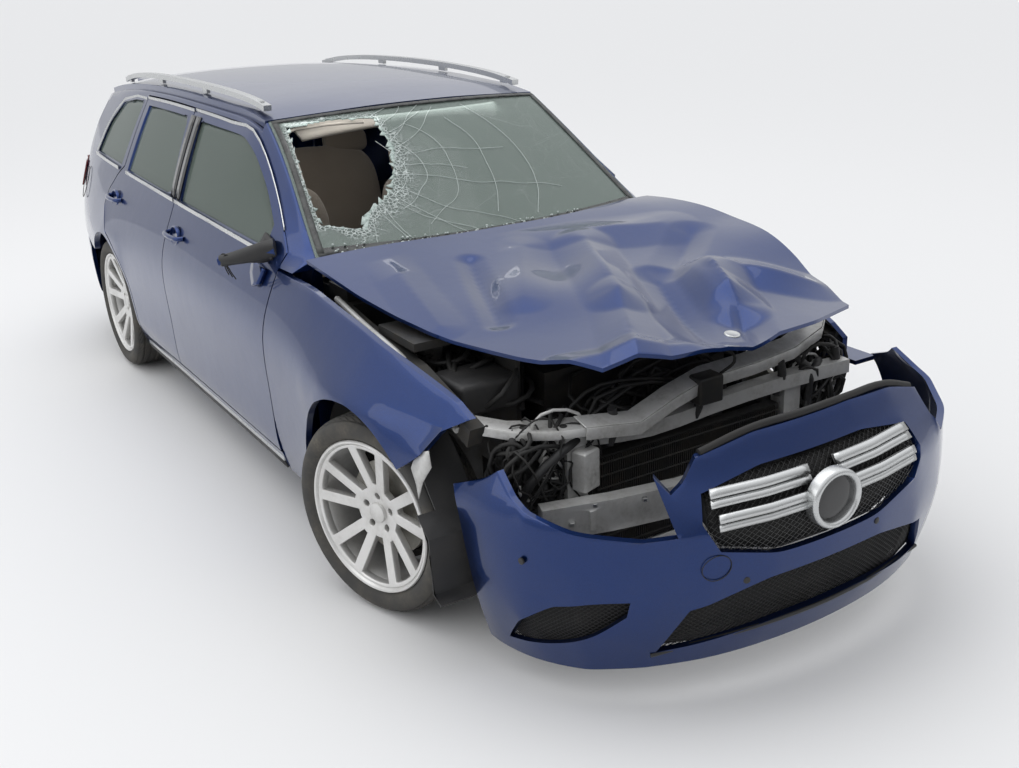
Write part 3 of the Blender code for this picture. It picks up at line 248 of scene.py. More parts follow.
def plain_finish(name, clean, roughness, metallic=0.0, dirt=(0.20, 0.18, 0.15), amount=0.35, scale=6.0,
                 grain=(300.0, 0.0003), coat=0.0):
    made, tree, skin = shader(name)
    soil(tree, skin, (*clean, 1), dirt, amount, scale, roughness)
    roughen(tree, skin, *grain)
    skin.inputs["Metallic"].default_value = metallic
    skin.inputs["Coat Weight"].default_value = coat
    return made


def make_paint():
    """Metallic blue paint with flakes under a clear coat, and light dust."""
    made, tree, skin = shader("blue paint")
    flakes = put(tree, "TexVoronoi", [("Vector", in_place(tree)), ("Scale", 900.0)])
    tone = ramp(tree, flakes.outputs["Distance"], 0.0, 0.9)
    metal = mixed(tree, tone, (0.010, 0.042, 0.185, 1), (0.004, 0.018, 0.088, 1))
    soil(tree, skin, metal, (0.09, 0.10, 0.13), 0.10, 2.5, 0.34)
    roughen(tree, skin, 11.0, 0.0007)
    for label, value in (("Metallic", 0.9), ("Coat Weight", 1.0), ("Coat Roughness", 0.03),
                         ("Coat IOR", 1.37)):
        skin.inputs[label].default_value = value
    return made


def make_glass(name, tint, clear, cracks=0.0):
    """Tinted glass: clear when faced, glossy at a slant, and whitened along its cracks."""
    made, tree, skin = shader(name)
    slant = put(tree, "Fresnel", [("IOR", 1.5)]).outputs["Fac"]
    opaque = ramp(tree, slant, 0.0, 0.6, clear, 1.0)
    color = (*tint, 1)
    if cracks:
        place = in_place(tree)
        wander = put(tree, "TexNoise", [("Vector", place), ("Scale", 3.0), ("Detail", 2.0)])
        shift = put(tree, "VectorMath", [(0, wander.outputs["Color"]), (3, 0.10)], operation="SCALE")
        warped = put(tree, "VectorMath", [(0, place), (1, shift.outputs[0])], operation="ADD")
        lines = 0.0
        for scale, width, power in ((5.0, 0.007, 0.5), (14.0, 0.018, 0.3)):
            cells = put(tree, "TexVoronoi", [("Vector", warped.outputs[0]), ("Scale", scale)],
                        feature="DISTANCE_TO_EDGE")
            found = ramp(tree, cells.outputs["Distance"], 0.0, width, power, 0.0)
            lines = worked(tree, "MAXIMUM", lines, found)
        strength = ramp(tree, cloud(tree, place, 1.8, 2.0), 0.40, 0.62, 0.05, cracks)
        lines = worked(tree, "MULTIPLY", lines, strength, clamp=True)
        opaque = worked(tree, "MAXIMUM", opaque, lines)
        tree.links.new(mixed(tree, lines, color, (0.70, 0.76, 0.74, 1)), skin.inputs["Base Color"])
        raised(tree, skin, lines, 0.002, 0.6)
        skin.inputs["Roughness"].default_value = 0.05
    else:
        soil(tree, skin, color, (0.20, 0.22, 0.20), 0.03, 3.0, 0.03)
    tree.links.new(opaque, skin.inputs["Alpha"])
    return made


def make_crazing():
    """Laminated glass crushed white along the broken edge, fading into the pane."""
    made, tree, skin = shader("crushed glass")
    place = in_place(tree)
    cells = put(tree, "TexVoronoi", [("Vector", place), ("Scale", 70.0)], feature="DISTANCE_TO_EDGE")
    cracks = ramp(tree, cells.outputs["Distance"], 0.0, 0.16, 1.0, 0.15)
    ragged = worked(tree, "MULTIPLY_ADD", cloud(tree, place, 16.0, 5.0), 1.1, -0.25)
    near = ramp(tree, worked(tree, "SUBTRACT", ragged, charted(tree, "edge")["Y"]), -0.45, 0.15)
    tone = mixed(tree, cracks, (0.22, 0.27, 0.25, 1), (0.62, 0.68, 0.66, 1))
    tree.links.new(tone, skin.inputs["Base Color"])
    tree.links.new(worked(tree, "MULTIPLY", near, cracks, clamp=True), skin.inputs["Alpha"])
    raised(tree, skin, cracks, 0.002, 0.8)
    skin.inputs["Roughness"].default_value = 0.22
    return made


def make_cloth():
    """Woven fabric: threads both ways."""
    made, tree, skin = shader("seat fabric")
    place = in_place(tree)
    threads = [put(tree, "TexWave", [("Vector", place), ("Scale", 220.0), ("Distortion", 1.0)],
                   bands_direction=way).outputs["Fac"] for way in ("X", "Z")]
    weave = worked(tree, "MULTIPLY", *threads)
    color = mixed(tree, weave, (0.16, 0.130, 0.100, 1), (0.33, 0.28, 0.22, 1))
    soil(tree, skin, color, (0.30, 0.28, 0.24), 0.35, 5.0, 0.85)
    raised(tree, skin, weave, 0.0008, 0.8)
    skin.inputs["Sheen Weight"].default_value = 0.3
    return made


def make_tyre():
    """Rubber: tread blocks by the tyre's own map, with painted shade darkening the grooves, dusty sidewalls.
    """
    made, tree, skin = shader("tyre rubber")
    way = charted(tree, "round")
    slant = worked(tree, "MULTIPLY_ADD", way["Y"], 0.6, way["X"])
    saw = worked(tree, "FRACT", worked(tree, "MULTIPLY", slant, TREAD_BLOCKS))
    gap = worked(tree, "SUBTRACT", 1.0, ramp(tree, saw, 0.16, 0.24))
    away = worked(tree, "ABSOLUTE", worked(tree, "SUBTRACT", way["Y"], 0.5))
    groove = worked(tree, "MULTIPLY", gap, ramp(tree, away, 0.20, 0.22, 1.0, 0.0))
    raised(tree, skin, groove, 0.006, 1.0, invert=True)
    # Painted shade: the groove mask turns the rubber's colour near-black inside the tread grooves.
    rubber = mixed(tree, groove, (0.040, 0.039, 0.037, 1), (0.006, 0.006, 0.006, 1))
    soil(tree, skin, rubber, (0.16, 0.145, 0.12), 0.75, 8.0, 0.75)
    return made


FINISH = {
    "paint": make_paint(), "tyre": make_tyre(), "crazing": make_crazing(), "cloth": make_cloth(),
    "glass": make_glass("side glass", (0.15, 0.185, 0.165), 0.34),
    "screen": make_glass("cracked screen", (0.30, 0.36, 0.33), 0.30, 0.85),
}
PLAIN_FINISHES = {
    # name, clean colour, roughness, metal, dirt colour, amount and scale, then grain and coat where not usual
    "alloy": ("silver alloy", (0.70, 0.695, 0.68), 0.35, 0.60, (0.24, 0.22, 0.19), 0.32, 9.0, (400.0, 0.0002),
              0.3),
    "bright": ("satin trim", (0.58, 0.59, 0.59), 0.26, 0.9, (0.30, 0.30, 0.29), 0.12, 6.0,
               (60.0, 0.00005)),
    "plastic": ("black plastic", (0.020, 0.020, 0.021), 0.5, 0.0, (0.07, 0.065, 0.06), 0.5),
    "gloss black": ("gloss black", (0.008, 0.008, 0.009), 0.12, 0.0, (0.05, 0.05, 0.05), 0.2, 6.0,
                    (300.0, 0.0003), 0.5),
    "rubber": ("black rubber", (0.010, 0.010, 0.010), 0.6, 0.0, (0.05, 0.045, 0.04), 0.4),
    "pale metal": ("primed metal", (0.58, 0.58, 0.57), 0.38, 0.4, (0.14, 0.125, 0.105), 0.6, 12.0),
    "grey metal": ("bare metal", (0.34, 0.33, 0.30), 0.45, 0.6, (0.12, 0.10, 0.07), 0.6, 12.0),
    "dark metal": ("dark metal", (0.030, 0.030, 0.030), 0.5, 0.4, (0.09, 0.075, 0.055), 0.6, 14.0),
    "crazed": ("broken glass edge", (0.34, 0.42, 0.39), 0.15, 0.0, (0.6, 0.66, 0.63), 0.8, 60.0),
    "crack": ("crack line", (0.55, 0.61, 0.59), 0.3, 0.0, (0.8, 0.85, 0.83), 0.5, 30.0),
    "crumb": ("glass crumb", (0.50, 0.56, 0.54), 0.12, 0.0, (0.8, 0.8, 0.8), 0.3, 80.0),
    "frit": ("screen border", (0.012, 0.013, 0.013), 0.25, 0.0, (0.16, 0.17, 0.16), 0.7, 22.0),
    "dash": ("dashboard skin", (0.035, 0.035, 0.036), 0.62, 0.0, (0.12, 0.115, 0.105), 0.4, 8.0,
             (260.0, 0.0008)),
    "cabin trim": ("cabin trim", (0.085, 0.070, 0.055), 0.7, 0.0, (0.16, 0.15, 0.13), 0.4, 8.0,
                   (260.0, 0.0008)),
    "liner": ("roof lining", (0.50, 0.46, 0.40), 0.9, 0.0, (0.3, 0.28, 0.25), 0.3, 5.0, (500.0, 0.0006)),
    "lens": ("red lens", (0.11, 0.002, 0.003), 0.14, 0.0, (0.08, 0.02, 0.02), 0.2, 10.0, (300.0, 0.0003),
             0.5),
    "clear lens": ("clear lens", (0.70, 0.70, 0.70), 0.10, 0.0, (0.5, 0.5, 0.5), 0.2, 6.0, (300.0, 0.0003),
                   0.8),
    "plate": ("blank plate", (0.70, 0.70, 0.68), 0.35, 0.0, (0.3, 0.28, 0.25), 0.3, 20.0),
}
FINISH.update((key, plain_finish(*values)) for key, values in PLAIN_FINISHES.items())


# Pieces

def carried(made, finish, carrier):
    """Puts a piece in the scene, on the body of a node or on a body by name."""
    bpy.context.scene.collection.objects.link(made)
    made.data.materials.append(FINISH[finish])
    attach(made, nodes[carrier]["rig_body"] if carrier in nodes else carrier)
    return made


def soften(made, width, limit, harden=False):
    """Rounds a piece's sharp edges."""
    edge = made.modifiers.new("edges", "BEVEL")
    edge.width = width
    edge.segments = 2
    edge.limit_method = "ANGLE"
    edge.angle_limit = limit
    edge.harden_normals = harden


def as_mesh(name, bm):
    mesh = bpy.data.meshes.new(name)
    bm.to_mesh(mesh)
    bm.free()
    return mesh


def finished(name, bm, finish, carrier, bevel=0.0, smooth=0.6):
    """Makes a piece of the mesh."""
    mesh = as_mesh(name, bm)
    mesh.shade_smooth()
    mesh.set_sharp_from_angle(angle=smooth)
    made = bpy.data.objects.new(name, mesh)
    if bevel:
        soften(made, bevel, 0.7, harden=True)
    return carried(made, finish, carrier)


def merged(node):
    bm = bmesh.new()
    bm.from_mesh(nodes[node].data)
    bmesh.ops.remove_doubles(bm, verts=bm.verts[:], dist=2e-5)
    return bm


def rounded(bm, levels, sharp):
    """Smooths a coarse mesh by subdivision, holding its edges and corners."""
    crease = bm.edges.layers.float.new("crease_edge")
    corner = bm.verts.layers.float.new("crease_vert")
    for edge in bm.edges:
        if edge.calc_face_angle(3.0) > sharp:
            edge[crease] = 1.0
    for vert in bm.verts:
        ends = [edge.other_vert(vert).co - vert.co for edge in vert.link_edges if edge[crease]]
        if len(ends) == 2 and ends[0].angle(-ends[1], 0) > 0.5:
            vert[corner] = 1.0
    shape = bpy.data.objects.new("rounding", as_mesh("rounding", bm))
    bpy.context.scene.collection.objects.link(shape)
    finer = shape.modifiers.new("finer", "SUBSURF")
    finer.levels = finer.render_levels = levels
    bpy.context.view_layer.update()
    graph = bpy.context.evaluated_depsgraph_get()
    bm = bmesh.new()
    bm.from_mesh(shape.evaluated_get(graph).data)
    bpy.data.objects.remove(shape)
    return bm


def skin(node, finish, levels=2, sharp=0.62, bevel=0.0012, shape=None):
    """A smooth piece in the shape of a CAD node, in its place."""
    bm = merged(node)
    bmesh.ops.join_triangles(bm, faces=bm.faces[:], angle_face_threshold=0.6, angle_shape_threshold=3.1)
    bm = rounded(bm, levels, sharp)
    if shape:
        for vert in bm.verts:
            vert.co = shape(vert.co.copy())
    made = finished(f"{node}_skin", bm, finish, node, bevel)
    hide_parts(node)
    return made


REST_STEER = math.radians(17.5)
KINGPIN_X = 0.680
KINGPIN_TO_HUB = 0.095
REAR_HUB_X = 0.775
HUB_Z = 0.326


def put_wheel(side, back):
    """The place of a wheel, its own Z axis pointing outwards."""
    if back:
        turn, centre = 0.0, world(side * REAR_HUB_X, back, HUB_Z)
    else:
        turn = REST_STEER
        arm = Matrix.Rotation(turn, 3, "Z") @ Vector((side * KINGPIN_TO_HUB, 0, 0))
        centre = world(side * KINGPIN_X, 0, HUB_Z) + arm
    outward = Matrix.Rotation(side * math.pi / 2, 4, "Y")
    return Matrix.Translation(centre) @ Matrix.Rotation(turn, 4, "Z") @ outward


def spun(profile, steps):
    """Turns a closed profile of (radius, along) about the local Z axis."""
    bm = bmesh.new()
    verts = [bm.verts.new((radius, 0, along)) for radius, along in profile]
    edges = [bm.edges.new(pair) for pair in zip(verts, verts[1:] + verts[:1])]
    bmesh.ops.spin(bm, geom=verts + edges, cent=(0, 0, 0), axis=(0, 0, 1), angle=2 * math.pi, steps=steps,
                   use_merge=True)
    bmesh.ops.remove_doubles(bm, verts=bm.verts[:], dist=1e-6)
    bmesh.ops.recalc_face_normals(bm, faces=bm.faces[:])
    return bm


def facing(spot, way):
    """A place at a spot, with the local Z axis along a direction."""
    return Matrix.Translation(spot) @ way.to_track_quat("Z", "Y").to_matrix().to_4x4()


def turned(name, profile, steps, place, finish, carrier="body", smooth=0.9):
    """A round piece: a spun profile, put in its place."""
    bm = spun(profile, steps)
    bmesh.ops.transform(bm, matrix=place, verts=bm.verts[:])
    return finished(name, bm, finish, carrier, smooth=smooth)


def add_tyre(name, place):
    half = 0.1125
    side_wall = [(0.2414, 0.088), (0.252, 0.093), (0.262, 0.104), (0.274, 0.1105), (0.288, half),
                 (0.300, 0.1095), (0.309, 0.104), (0.316, 0.095), (0.3215, 0.086)]
    ribs = []
    for along in (0.078, 0.048, 0.017):
        ribs += [(0.3235, along), (0.3155, along - 0.003), (0.3155, along - 0.008), (0.325, along - 0.011)]
    outer = side_wall + ribs
    profile = outer + [(radius, -along) for radius, along in outer[::-1]]
    bm = spun(profile, 96)
    chart = bm.loops.layers.uv.new("round")
    for face in bm.faces:
        angles = [math.atan2(loop.vert.co.y, loop.vert.co.x) / (2 * math.pi) % 1 for loop in face.loops]
        wraps = max(angles) - min(angles) > 0.5
        for loop, angle in zip(face.loops, angles):
            loop[chart].uv = (angle + 1 if wraps and angle < 0.5 else angle,
                              0.5 + loop.vert.co.z / 0.45 if loop.vert.co.xy.length > 0.31 else 0.0)
    bmesh.ops.transform(bm, matrix=place, verts=bm.verts[:])
    made = finished(f"tyre_{name}_rubber", bm, "tyre", f"tyre_{name}")
    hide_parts(f"tyre_{name}")


def ring(radius, start, end, steps):
    angles = [math.radians(start + (end - start) * i / steps) for i in range(steps + 1)]
    return [(radius * math.cos(t), radius * math.sin(t)) for t in angles]


def filled(loops, height=0.0):
    """A flat mesh inside closed outlines, open inside the inner ones."""
    bm = bmesh.new()
    for loop in loops:
        verts = [bm.verts.new((*point, height)) for point in loop]
        for pair in zip(verts, verts[1:] + verts[:1]):
            bm.edges.new(pair)
    bmesh.ops.triangle_fill(bm, use_beauty=True, edges=bm.edges[:])
    return bm


def plate(loops, low, high):
    """A flat plate with holes, from height low to high."""
    bm = filled(loops, high)
    made = bmesh.ops.extrude_face_region(bm, geom=bm.faces[:], use_keep_orig=True)
    moved = [item for item in made["geom"] if isinstance(item, bmesh.types.BMVert)]
    bmesh.ops.translate(bm, verts=moved, vec=(0, 0, low - high))
    bmesh.ops.recalc_face_normals(bm, faces=bm.faces[:])
    return bm


def join(bm, other):
    """Adds another mesh to this one."""
    mesh = as_mesh("part", other)
    bm.from_mesh(mesh)
    bpy.data.meshes.remove(mesh)


RIM_BARREL = ((0.2412, 0.0895), (0.251, 0.0935), (0.2525, 0.0985), (0.2495, 0.1025), (0.243, 0.1015),
              (0.236, 0.092), (0.229, 0.074), (0.220, 0.040), (0.224, -0.040), (0.231, -0.094),
              (0.251, -0.1025), (0.251, -0.096), (0.2412, -0.0925))
SPOKES = 5
SPOKE_RADIUS = 0.237
SPOKE_FACE = 0.062
LUG_CIRCLE = 0.056


def add_rim(name, place):
    bm = spun(RIM_BARREL, 72)
    windows = []
    for spoke in range(SPOKES):
        turn = 360 / SPOKES * spoke
        windows.append([*ring(0.2265, turn + 20, turn + 52, 8), *ring(0.085, turn + 46, turn + 26, 4)])
        windows.append([*ring(0.2235, turn - 10.5, turn + 10.5, 6), *ring(0.100, turn + 4.5, turn - 4.5, 2)])
        lug = (LUG_CIRCLE * math.cos(math.radians(turn)), LUG_CIRCLE * math.sin(math.radians(turn)))
        windows.append([(lug[0] + u, lug[1] + v) for u, v in ring(0.0115, 0, 330, 11)])
    spokes = plate([ring(SPOKE_RADIUS, 0, 355, 71), *windows], -0.026, 0.0)
    bmesh.ops.bevel(spokes, geom=[edge for edge in spokes.edges if edge.calc_face_angle(0) > 1.0],
                    offset=0.0028, segments=2, profile=0.5, affect="EDGES", material=-1)
    for vert in spokes.verts:
        far = vert.co.xy.length / SPOKE_RADIUS
        vert.co.z += SPOKE_FACE + 0.034 * far**2.4 - 0.012 * math.exp(-(far / 0.3) ** 2)
    join(bm, spokes)
    join(bm, spun([(0.0, 0.068), (0.022, 0.068), (0.0315, 0.064), (0.0335, 0.060), (0.0335, 0.052),
                   (0.0, 0.052)], 40))
    bmesh.ops.transform(bm, matrix=place, verts=bm.verts[:])
    made = finished(f"rim_{name}_alloy", bm, "alloy", f"rim_{name}", smooth=0.7)
    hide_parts(f"rim_{name}")
    turned(f"disc_{name}", [(0.034, 0.010), (0.155, 0.010), (0.155, -0.012), (0.034, -0.012)], 48, place,
           "grey metal", f"rim_{name}", 0.7)


def add_wheels():
    for name, side, back in (("front_right", -1, 0), ("front_left", 1, 0), ("rear_right", -1, WHEELBASE),
                             ("rear_left", 1, WHEELBASE)):
        place = put_wheel(side, back)
        add_tyre(name, place)
        add_rim(name, place)


def add_panels():
    doors = [f"door_{place}_{side}" for place in ("front", "rear") for side in ("left", "right")]
    for node in ("fender_left", "fender_right", "front_bumper", "rear_bumper", "roof_panel", "tailgate",
                 "side_frame_left", "side_frame_right", *doors):
        skin(node, "paint")
    for node in (*(f"{door}_glass" for door in doors), "quarter_glass_left", "quarter_glass_right",
                 "tailgate_glass"):
        skin(node, "glass", bevel=0.0)
    skin("windscreen", "screen", bevel=0.0)
    for node in ("roof_rail_left", "roof_rail_right"):
        skin(node, "bright")
    for node in ("liner_left", "liner_right", "dashboard"):
        skin(node, "plastic", 1)


def dress_plain_nodes():
    """Nodes that are seen as they are take only a finish."""
    for node in ("platform", "front_frame", "engine_block", "radiator", "rear_axle", "knuckle_left",
                 "knuckle_right"):
        slots = nodes[node].data.materials
        slots.clear()
        slots.append(FINISH["rubber" if node == "radiator" else "dark metal"])


FLOOR_REACH = 160


def add_floor():
    bm = bmesh.new()
    bmesh.ops.create_grid(bm, x_segments=2, y_segments=2, size=FLOOR_REACH)
    floor = bpy.data.objects.new("floor", as_mesh("floor", bm))
    bpy.context.scene.collection.objects.link(floor)
    pale, _, face = shader("studio floor")
    face.inputs["Base Color"].default_value = (0.80, 0.80, 0.80, 1)
    face.inputs["Roughness"].default_value = 0.75
    floor.data.materials.append(pale)


# The car's own surfaces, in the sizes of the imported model

TOP_LINE = ((-0.50, 0.750), (-0.2, 0.830), (0.1, 0.890), (0.45, 0.938), (0.75, 0.945), (1.3, 0.962),
            (1.9, 0.980), (2.66, 0.996), (3.34, 1.005), (3.80, 1.000))
CANT_LINE = ((0.60, 0.985), (1.22, 1.378), (1.5, 1.400), (1.9, 1.411), (2.4, 1.408), (2.9, 1.387),
             (3.3, 1.350), (3.62, 1.300))
CANT_HALF = ((0.60, 0.705), (1.22, 0.598), (1.9, 0.612), (2.6, 0.610), (3.2, 0.592), (3.62, 0.570))
ROOF_CENTRE = ((1.15, 1.405), (1.5, 1.437), (1.9, 1.447), (2.5, 1.443), (3.1, 1.412), (3.62, 1.350))
TAIL_LINE = ((0.55, 3.890), (0.62, 3.875), (0.75, 3.868), (0.95, 3.815), (1.0, 3.790), (1.17, 3.670),
             (1.33, 3.585))
SIDE_STATIONS = (-0.50, -0.2, 0.1, 0.7, 1.3, 1.9, 2.84, 3.3, 3.6, 3.80)
SIDE_LEVELS = (
    (0.19, (0.780, 0.815, 0.825, 0.825, 0.828, 0.832, 0.835, 0.810, 0.770, 0.700)),
    (0.32, (0.815, 0.868, 0.886, 0.866, 0.868, 0.872, 0.888, 0.862, 0.815, 0.745)),
    (0.50, (0.815, 0.876, 0.903, 0.870, 0.872, 0.876, 0.903, 0.875, 0.826, 0.752)),
    (0.72, (0.770, 0.855, 0.897, 0.889, 0.893, 0.897, 0.906, 0.876, 0.822, 0.745)),
)
TOP_HALF = (0.690, 0.745, 0.775, 0.795, 0.797, 0.797, 0.787, 0.765, 0.735, 0.672)
BUMPER_PLAN = ((0, 0), (0.20, 0.012), (0.38, 0.045), (0.54, 0.115), (0.68, 0.225), (0.775, 0.36),
               (0.815, 0.50), (0.825, 0.66))
REAR_PLAN = ((0, 0), (0.30, 0.014), (0.52, 0.060), (0.70, 0.150), (0.80, 0.270), (0.865, 0.50), (0.895, 0.70))
REAR_TUCK = ((0.20, 0.05), (0.35, 0.01), (0.5, 0.0), (0.61, 0.012))
BUMPER_TUCK = ((0.15, 0.055), (0.30, 0.012), (0.48, 0.0), (0.58, 0.015), (0.67, 0.080), (0.76, 0.135))
SCREEN_HOLE = ((-0.93, 0.20), (-0.71, 0.14), (-0.66, 0.24), (-0.48, 0.37), (-0.35, 0.63), (-0.35, 0.88),
               (-0.63, 0.92), (-0.92, 0.90), (-0.94, 0.55))


def ease(x, xs, ys):
    """A smooth curve through the points (xs, ys)."""
    if x <= xs[0]:
        return ys[0] + (x - xs[0]) * (ys[1] - ys[0]) / (xs[1] - xs[0])
    if x >= xs[-1]:
        return ys[-1] + (x - xs[-1]) * (ys[-1] - ys[-2]) / (xs[-1] - xs[-2])
    i = max(k for k in range(len(xs) - 1) if xs[k] <= x)
    slopes = []
    for k in (i, i + 1):
        low, high = max(k - 1, 0), min(k + 1, len(xs) - 1)
        slopes.append((ys[high] - ys[low]) / (xs[high] - xs[low]))
    span = xs[i + 1] - xs[i]
    t = (x - xs[i]) / span
    return ((2 * t**3 - 3 * t**2 + 1) * ys[i] + (t**3 - 2 * t**2 + t) * span * slopes[0]
            + (3 * t**2 - 2 * t**3) * ys[i + 1] + (t**3 - t**2) * span * slopes[1])


def line(table, x):
    return ease(x, [row[0] for row in table], [row[1] for row in table])


def body_half(back, z):
    top = line(TOP_LINE, back)
    top_half = ease(back, SIDE_STATIONS, TOP_HALF)
    if z <= top:
        heights = [row[0] for row in SIDE_LEVELS[:-1]]
        heights.append(min(SIDE_LEVELS[-1][0], top - 0.10))
        halves = [ease(back, SIDE_STATIONS, row[1]) for row in SIDE_LEVELS]
        return ease(z, heights + [top], halves + [top_half])
    cant = max(line(CANT_LINE, back), top + 0.01)
    share = (z - top) / (cant - top)
    bulge = 0.04 * share * (1 - share) if share < 1 else 0
    return top_half + (line(CANT_HALF, back) - top_half) * share + bulge


def roof_z(x, back):
    centre, edge = line(ROOF_CENTRE, back), line(CANT_LINE, back)
    return centre + (edge - centre) * abs(x / line(CANT_HALF, back)) ** 2.6


def on_side(side, out=0.0):
    """The body side, as a function of distance behind the front axle and height."""
    return lambda back, z: world(side * (body_half(back, z) + out), back, z)


def mirrored(side, near, far):
    """A range across the car on one side, from low to high."""
    return sorted((side * near, side * far))


SCREEN_FOOT = 0.60
SCREEN_RUN = 0.62
SCREEN_INSET = 0.985
SCREEN_NORMAL = (-0.53, 0.85)


def on_screen(lift):
    """The windscreen, as a function of across from -1 to 1 and share up the glass."""

    def at(across, share):
        back = SCREEN_FOOT + SCREEN_RUN * share
        level = 1 - across**2
        bow = (0.12 - 0.05 * share) * level
        z = line(CANT_LINE, back) + 0.027 * share * level
        half = line(CANT_HALF, back) * SCREEN_INSET
        return world(half * across, back - bow + SCREEN_NORMAL[0] * lift, z + SCREEN_NORMAL[1] * lift)

    return at


def on_tail(out):
    return lambda x, z: world(x, line(TAIL_LINE, z) - 0.13 * (abs(x) / 0.74) ** 2.5 + out, z)


def plan_point(table, run):
    points = [Vector(row) for row in table]
    left = abs(run)
    for first, second in zip(points, points[1:]):
        length = (second - first).length
        if left <= length or second is points[-1]:
            at = first + (second - first) * left / length
            return Vector((math.copysign(at.x, run), at.y))
        left -= length


BUMPER_AT = (0.02, -1.12)
BUMPER_YAW = Matrix.Rotation(math.radians(-3.0), 2)
BUMPER_ROLL = math.tan(math.radians(2.5))


def on_bumper(out):
    """The front bumper's outer face, as a function of the distance along it and height."""

    def at(run, z):
        point = plan_point(BUMPER_PLAN, run)
        tuck = line(BUMPER_TUCK, z) - out
        flat = Vector((point.x * (1 - tuck / 0.9), point.y + tuck * (1 - (point.x / 0.83) ** 4)))
        askew = BUMPER_YAW @ flat
        return world(BUMPER_AT[0] + askew.x, BUMPER_AT[1] + askew.y, z + askew.x * BUMPER_ROLL)

    return at


def on_rear_bumper(out):
    def at(run, z):
        point = plan_point(REAR_PLAN, run)
        inward = line(REAR_TUCK, z) - out
        return world(point.x * (1 - inward / 0.88), 3.92 - point.y - inward * (1 - (point.x / 0.875) ** 4), z)

    return at


# Builders for trim, sheet, hose and lattice

def solid(made, thickness, offset=0.0):
    wall = made.modifiers.new("wall", "SOLIDIFY")
    wall.thickness = thickness
    wall.offset = offset
    return made


def laid(bm, surface, u, v):
    """Lays a unit grid on a surface over a range of each coordinate."""
    for vert in bm.verts:
        vert.co = surface(u[0] + (vert.co.x + 0.5) * (u[1] - u[0]), v[0] + (vert.co.y + 0.5) * (v[1] - v[0]))


def sheet(name, surface, u, v, steps, finish, carrier="body", thickness=0.003):
    """A sheet of even thickness on a surface."""
    bm = bmesh.new()
    bmesh.ops.create_grid(bm, x_segments=steps[0], y_segments=steps[1], size=0.5)
    laid(bm, surface, u, v)
    return solid(finished(name, bm, finish, carrier), thickness)


def patch(name, surface, outline, finish, carrier, thickness=0.003, rounds=2):
    """A sheet with a free outline, laid on a surface."""
    bm = filled([outline])
    for _ in range(rounds):
        bmesh.ops.subdivide_edges(bm, edges=bm.edges[:], cuts=1, use_grid_fill=True)
    for vert in bm.verts:
        vert.co = surface(vert.co.x, vert.co.y)
    return solid(finished(name, bm, finish, carrier), thickness)


def band(name, low, rise, finish, carrier="body", thickness=0.004, bevel=0.0012):
    """A flat trim strip whose lower edge runs through the points."""
    bm = bmesh.new()
    verts = [bm.verts.new(point) for point in low]
    edges = [bm.edges.new(pair) for pair in zip(verts, verts[1:])]
    made = bmesh.ops.extrude_edge_only(bm, edges=edges)
    moved = [item for item in made["geom"] if isinstance(item, bmesh.types.BMVert)]
    bmesh.ops.translate(bm, verts=moved, vec=rise)
    soften(solid(finished(name, bm, finish, carrier, smooth=0.9), thickness), bevel, 0.9)


def hoses(name, routes, radius, finish, carrier="body", sides=3):
    """Round bars, hoses or wires, each a smooth line through its points."""
    data = bpy.data.curves.new(name, "CURVE")
    data.dimensions = "3D"
    data.bevel_depth = radius
    data.bevel_resolution = sides
    data.use_fill_caps = True
    data.resolution_u = 5
    for route in routes:
        spline = data.splines.new("BEZIER")
        spline.bezier_points.add(len(route) - 1)
        for knot, point in zip(spline.bezier_points, route):
            knot.co = point
            knot.handle_left_type = knot.handle_right_type = "AUTO"
    carried(bpy.data.objects.new(name, data), finish, carrier)


def tangle(name, low, high, count, radius, finish, seed):
    """Looms and hoses that wander through a box of the engine bay, from wall to wall."""
    draw = random.Random(seed)

    def somewhere():
        return [draw.uniform(a, b) for a, b in zip(low, high)]

    routes = []
    for _ in range(count):
        start, end = somewhere(), somewhere()
        start[2] = end[2] = low[2] - 0.02
        between = [somewhere() for _ in range(3)]
        routes.append([world(*point) for point in (start, *between, end)])
    hoses(name, routes, radius, finish)


def lattice(name, surface, u, v, cell, finish):
    """A moulded diamond mesh laid on a surface."""
    bm = bmesh.new()
    across, up = max(2, round((u[1] - u[0]) / cell)), max(2, round((v[1] - v[0]) / (cell * 0.7)))
    bmesh.ops.create_grid(bm, x_segments=across, y_segments=up, size=0.5)
    bmesh.ops.poke(bm, faces=bm.faces[:])
    straight = [edge for edge in bm.edges if not edge.is_boundary and all(
        len(vert.link_edges) > 4 or vert.is_boundary for vert in edge.verts)]
    bmesh.ops.dissolve_edges(bm, edges=straight, use_verts=False)
    laid(bm, surface, u, v)
    wires = finished(name, bm, finish, "body").modifiers.new("bars", "WIREFRAME")
    wires.thickness = 0.0035
    wires.use_even_offset = False


def rounded_box(name, low, high, finish, carrier="body", bevel=0.012, turn=0.0, taper=1.0):
    """A moulded housing: a box with rounded edges, tapered to its top and ribbed round its lid."""
    low, high = world(*low), world(*high)
    bm = bmesh.new()
    bmesh.ops.create_cube(bm, size=1)
    bmesh.ops.bisect_plane(bm, geom=bm.verts[:] + bm.edges[:] + bm.faces[:], plane_co=(0, 0, 0.3),
                           plane_no=(0, 0, 1))
    top = [face for face in bm.faces if face.normal.z > 0.9]
    bmesh.ops.inset_region(bm, faces=top, thickness=0.12, depth=0.04, use_even_offset=True)
    for vert in bm.verts:
        if vert.co.z > 0:
            vert.co.x *= taper
            vert.co.y *= taper
    size = Matrix.Diagonal((*(high - low), 1))
    place = Matrix.Translation((low + high) / 2) @ Matrix.Rotation(turn, 4, "Z") @ size
    bmesh.ops.transform(bm, matrix=place, verts=bm.verts[:])
    finished(name, bm, finish, carrier, bevel)


# Body details

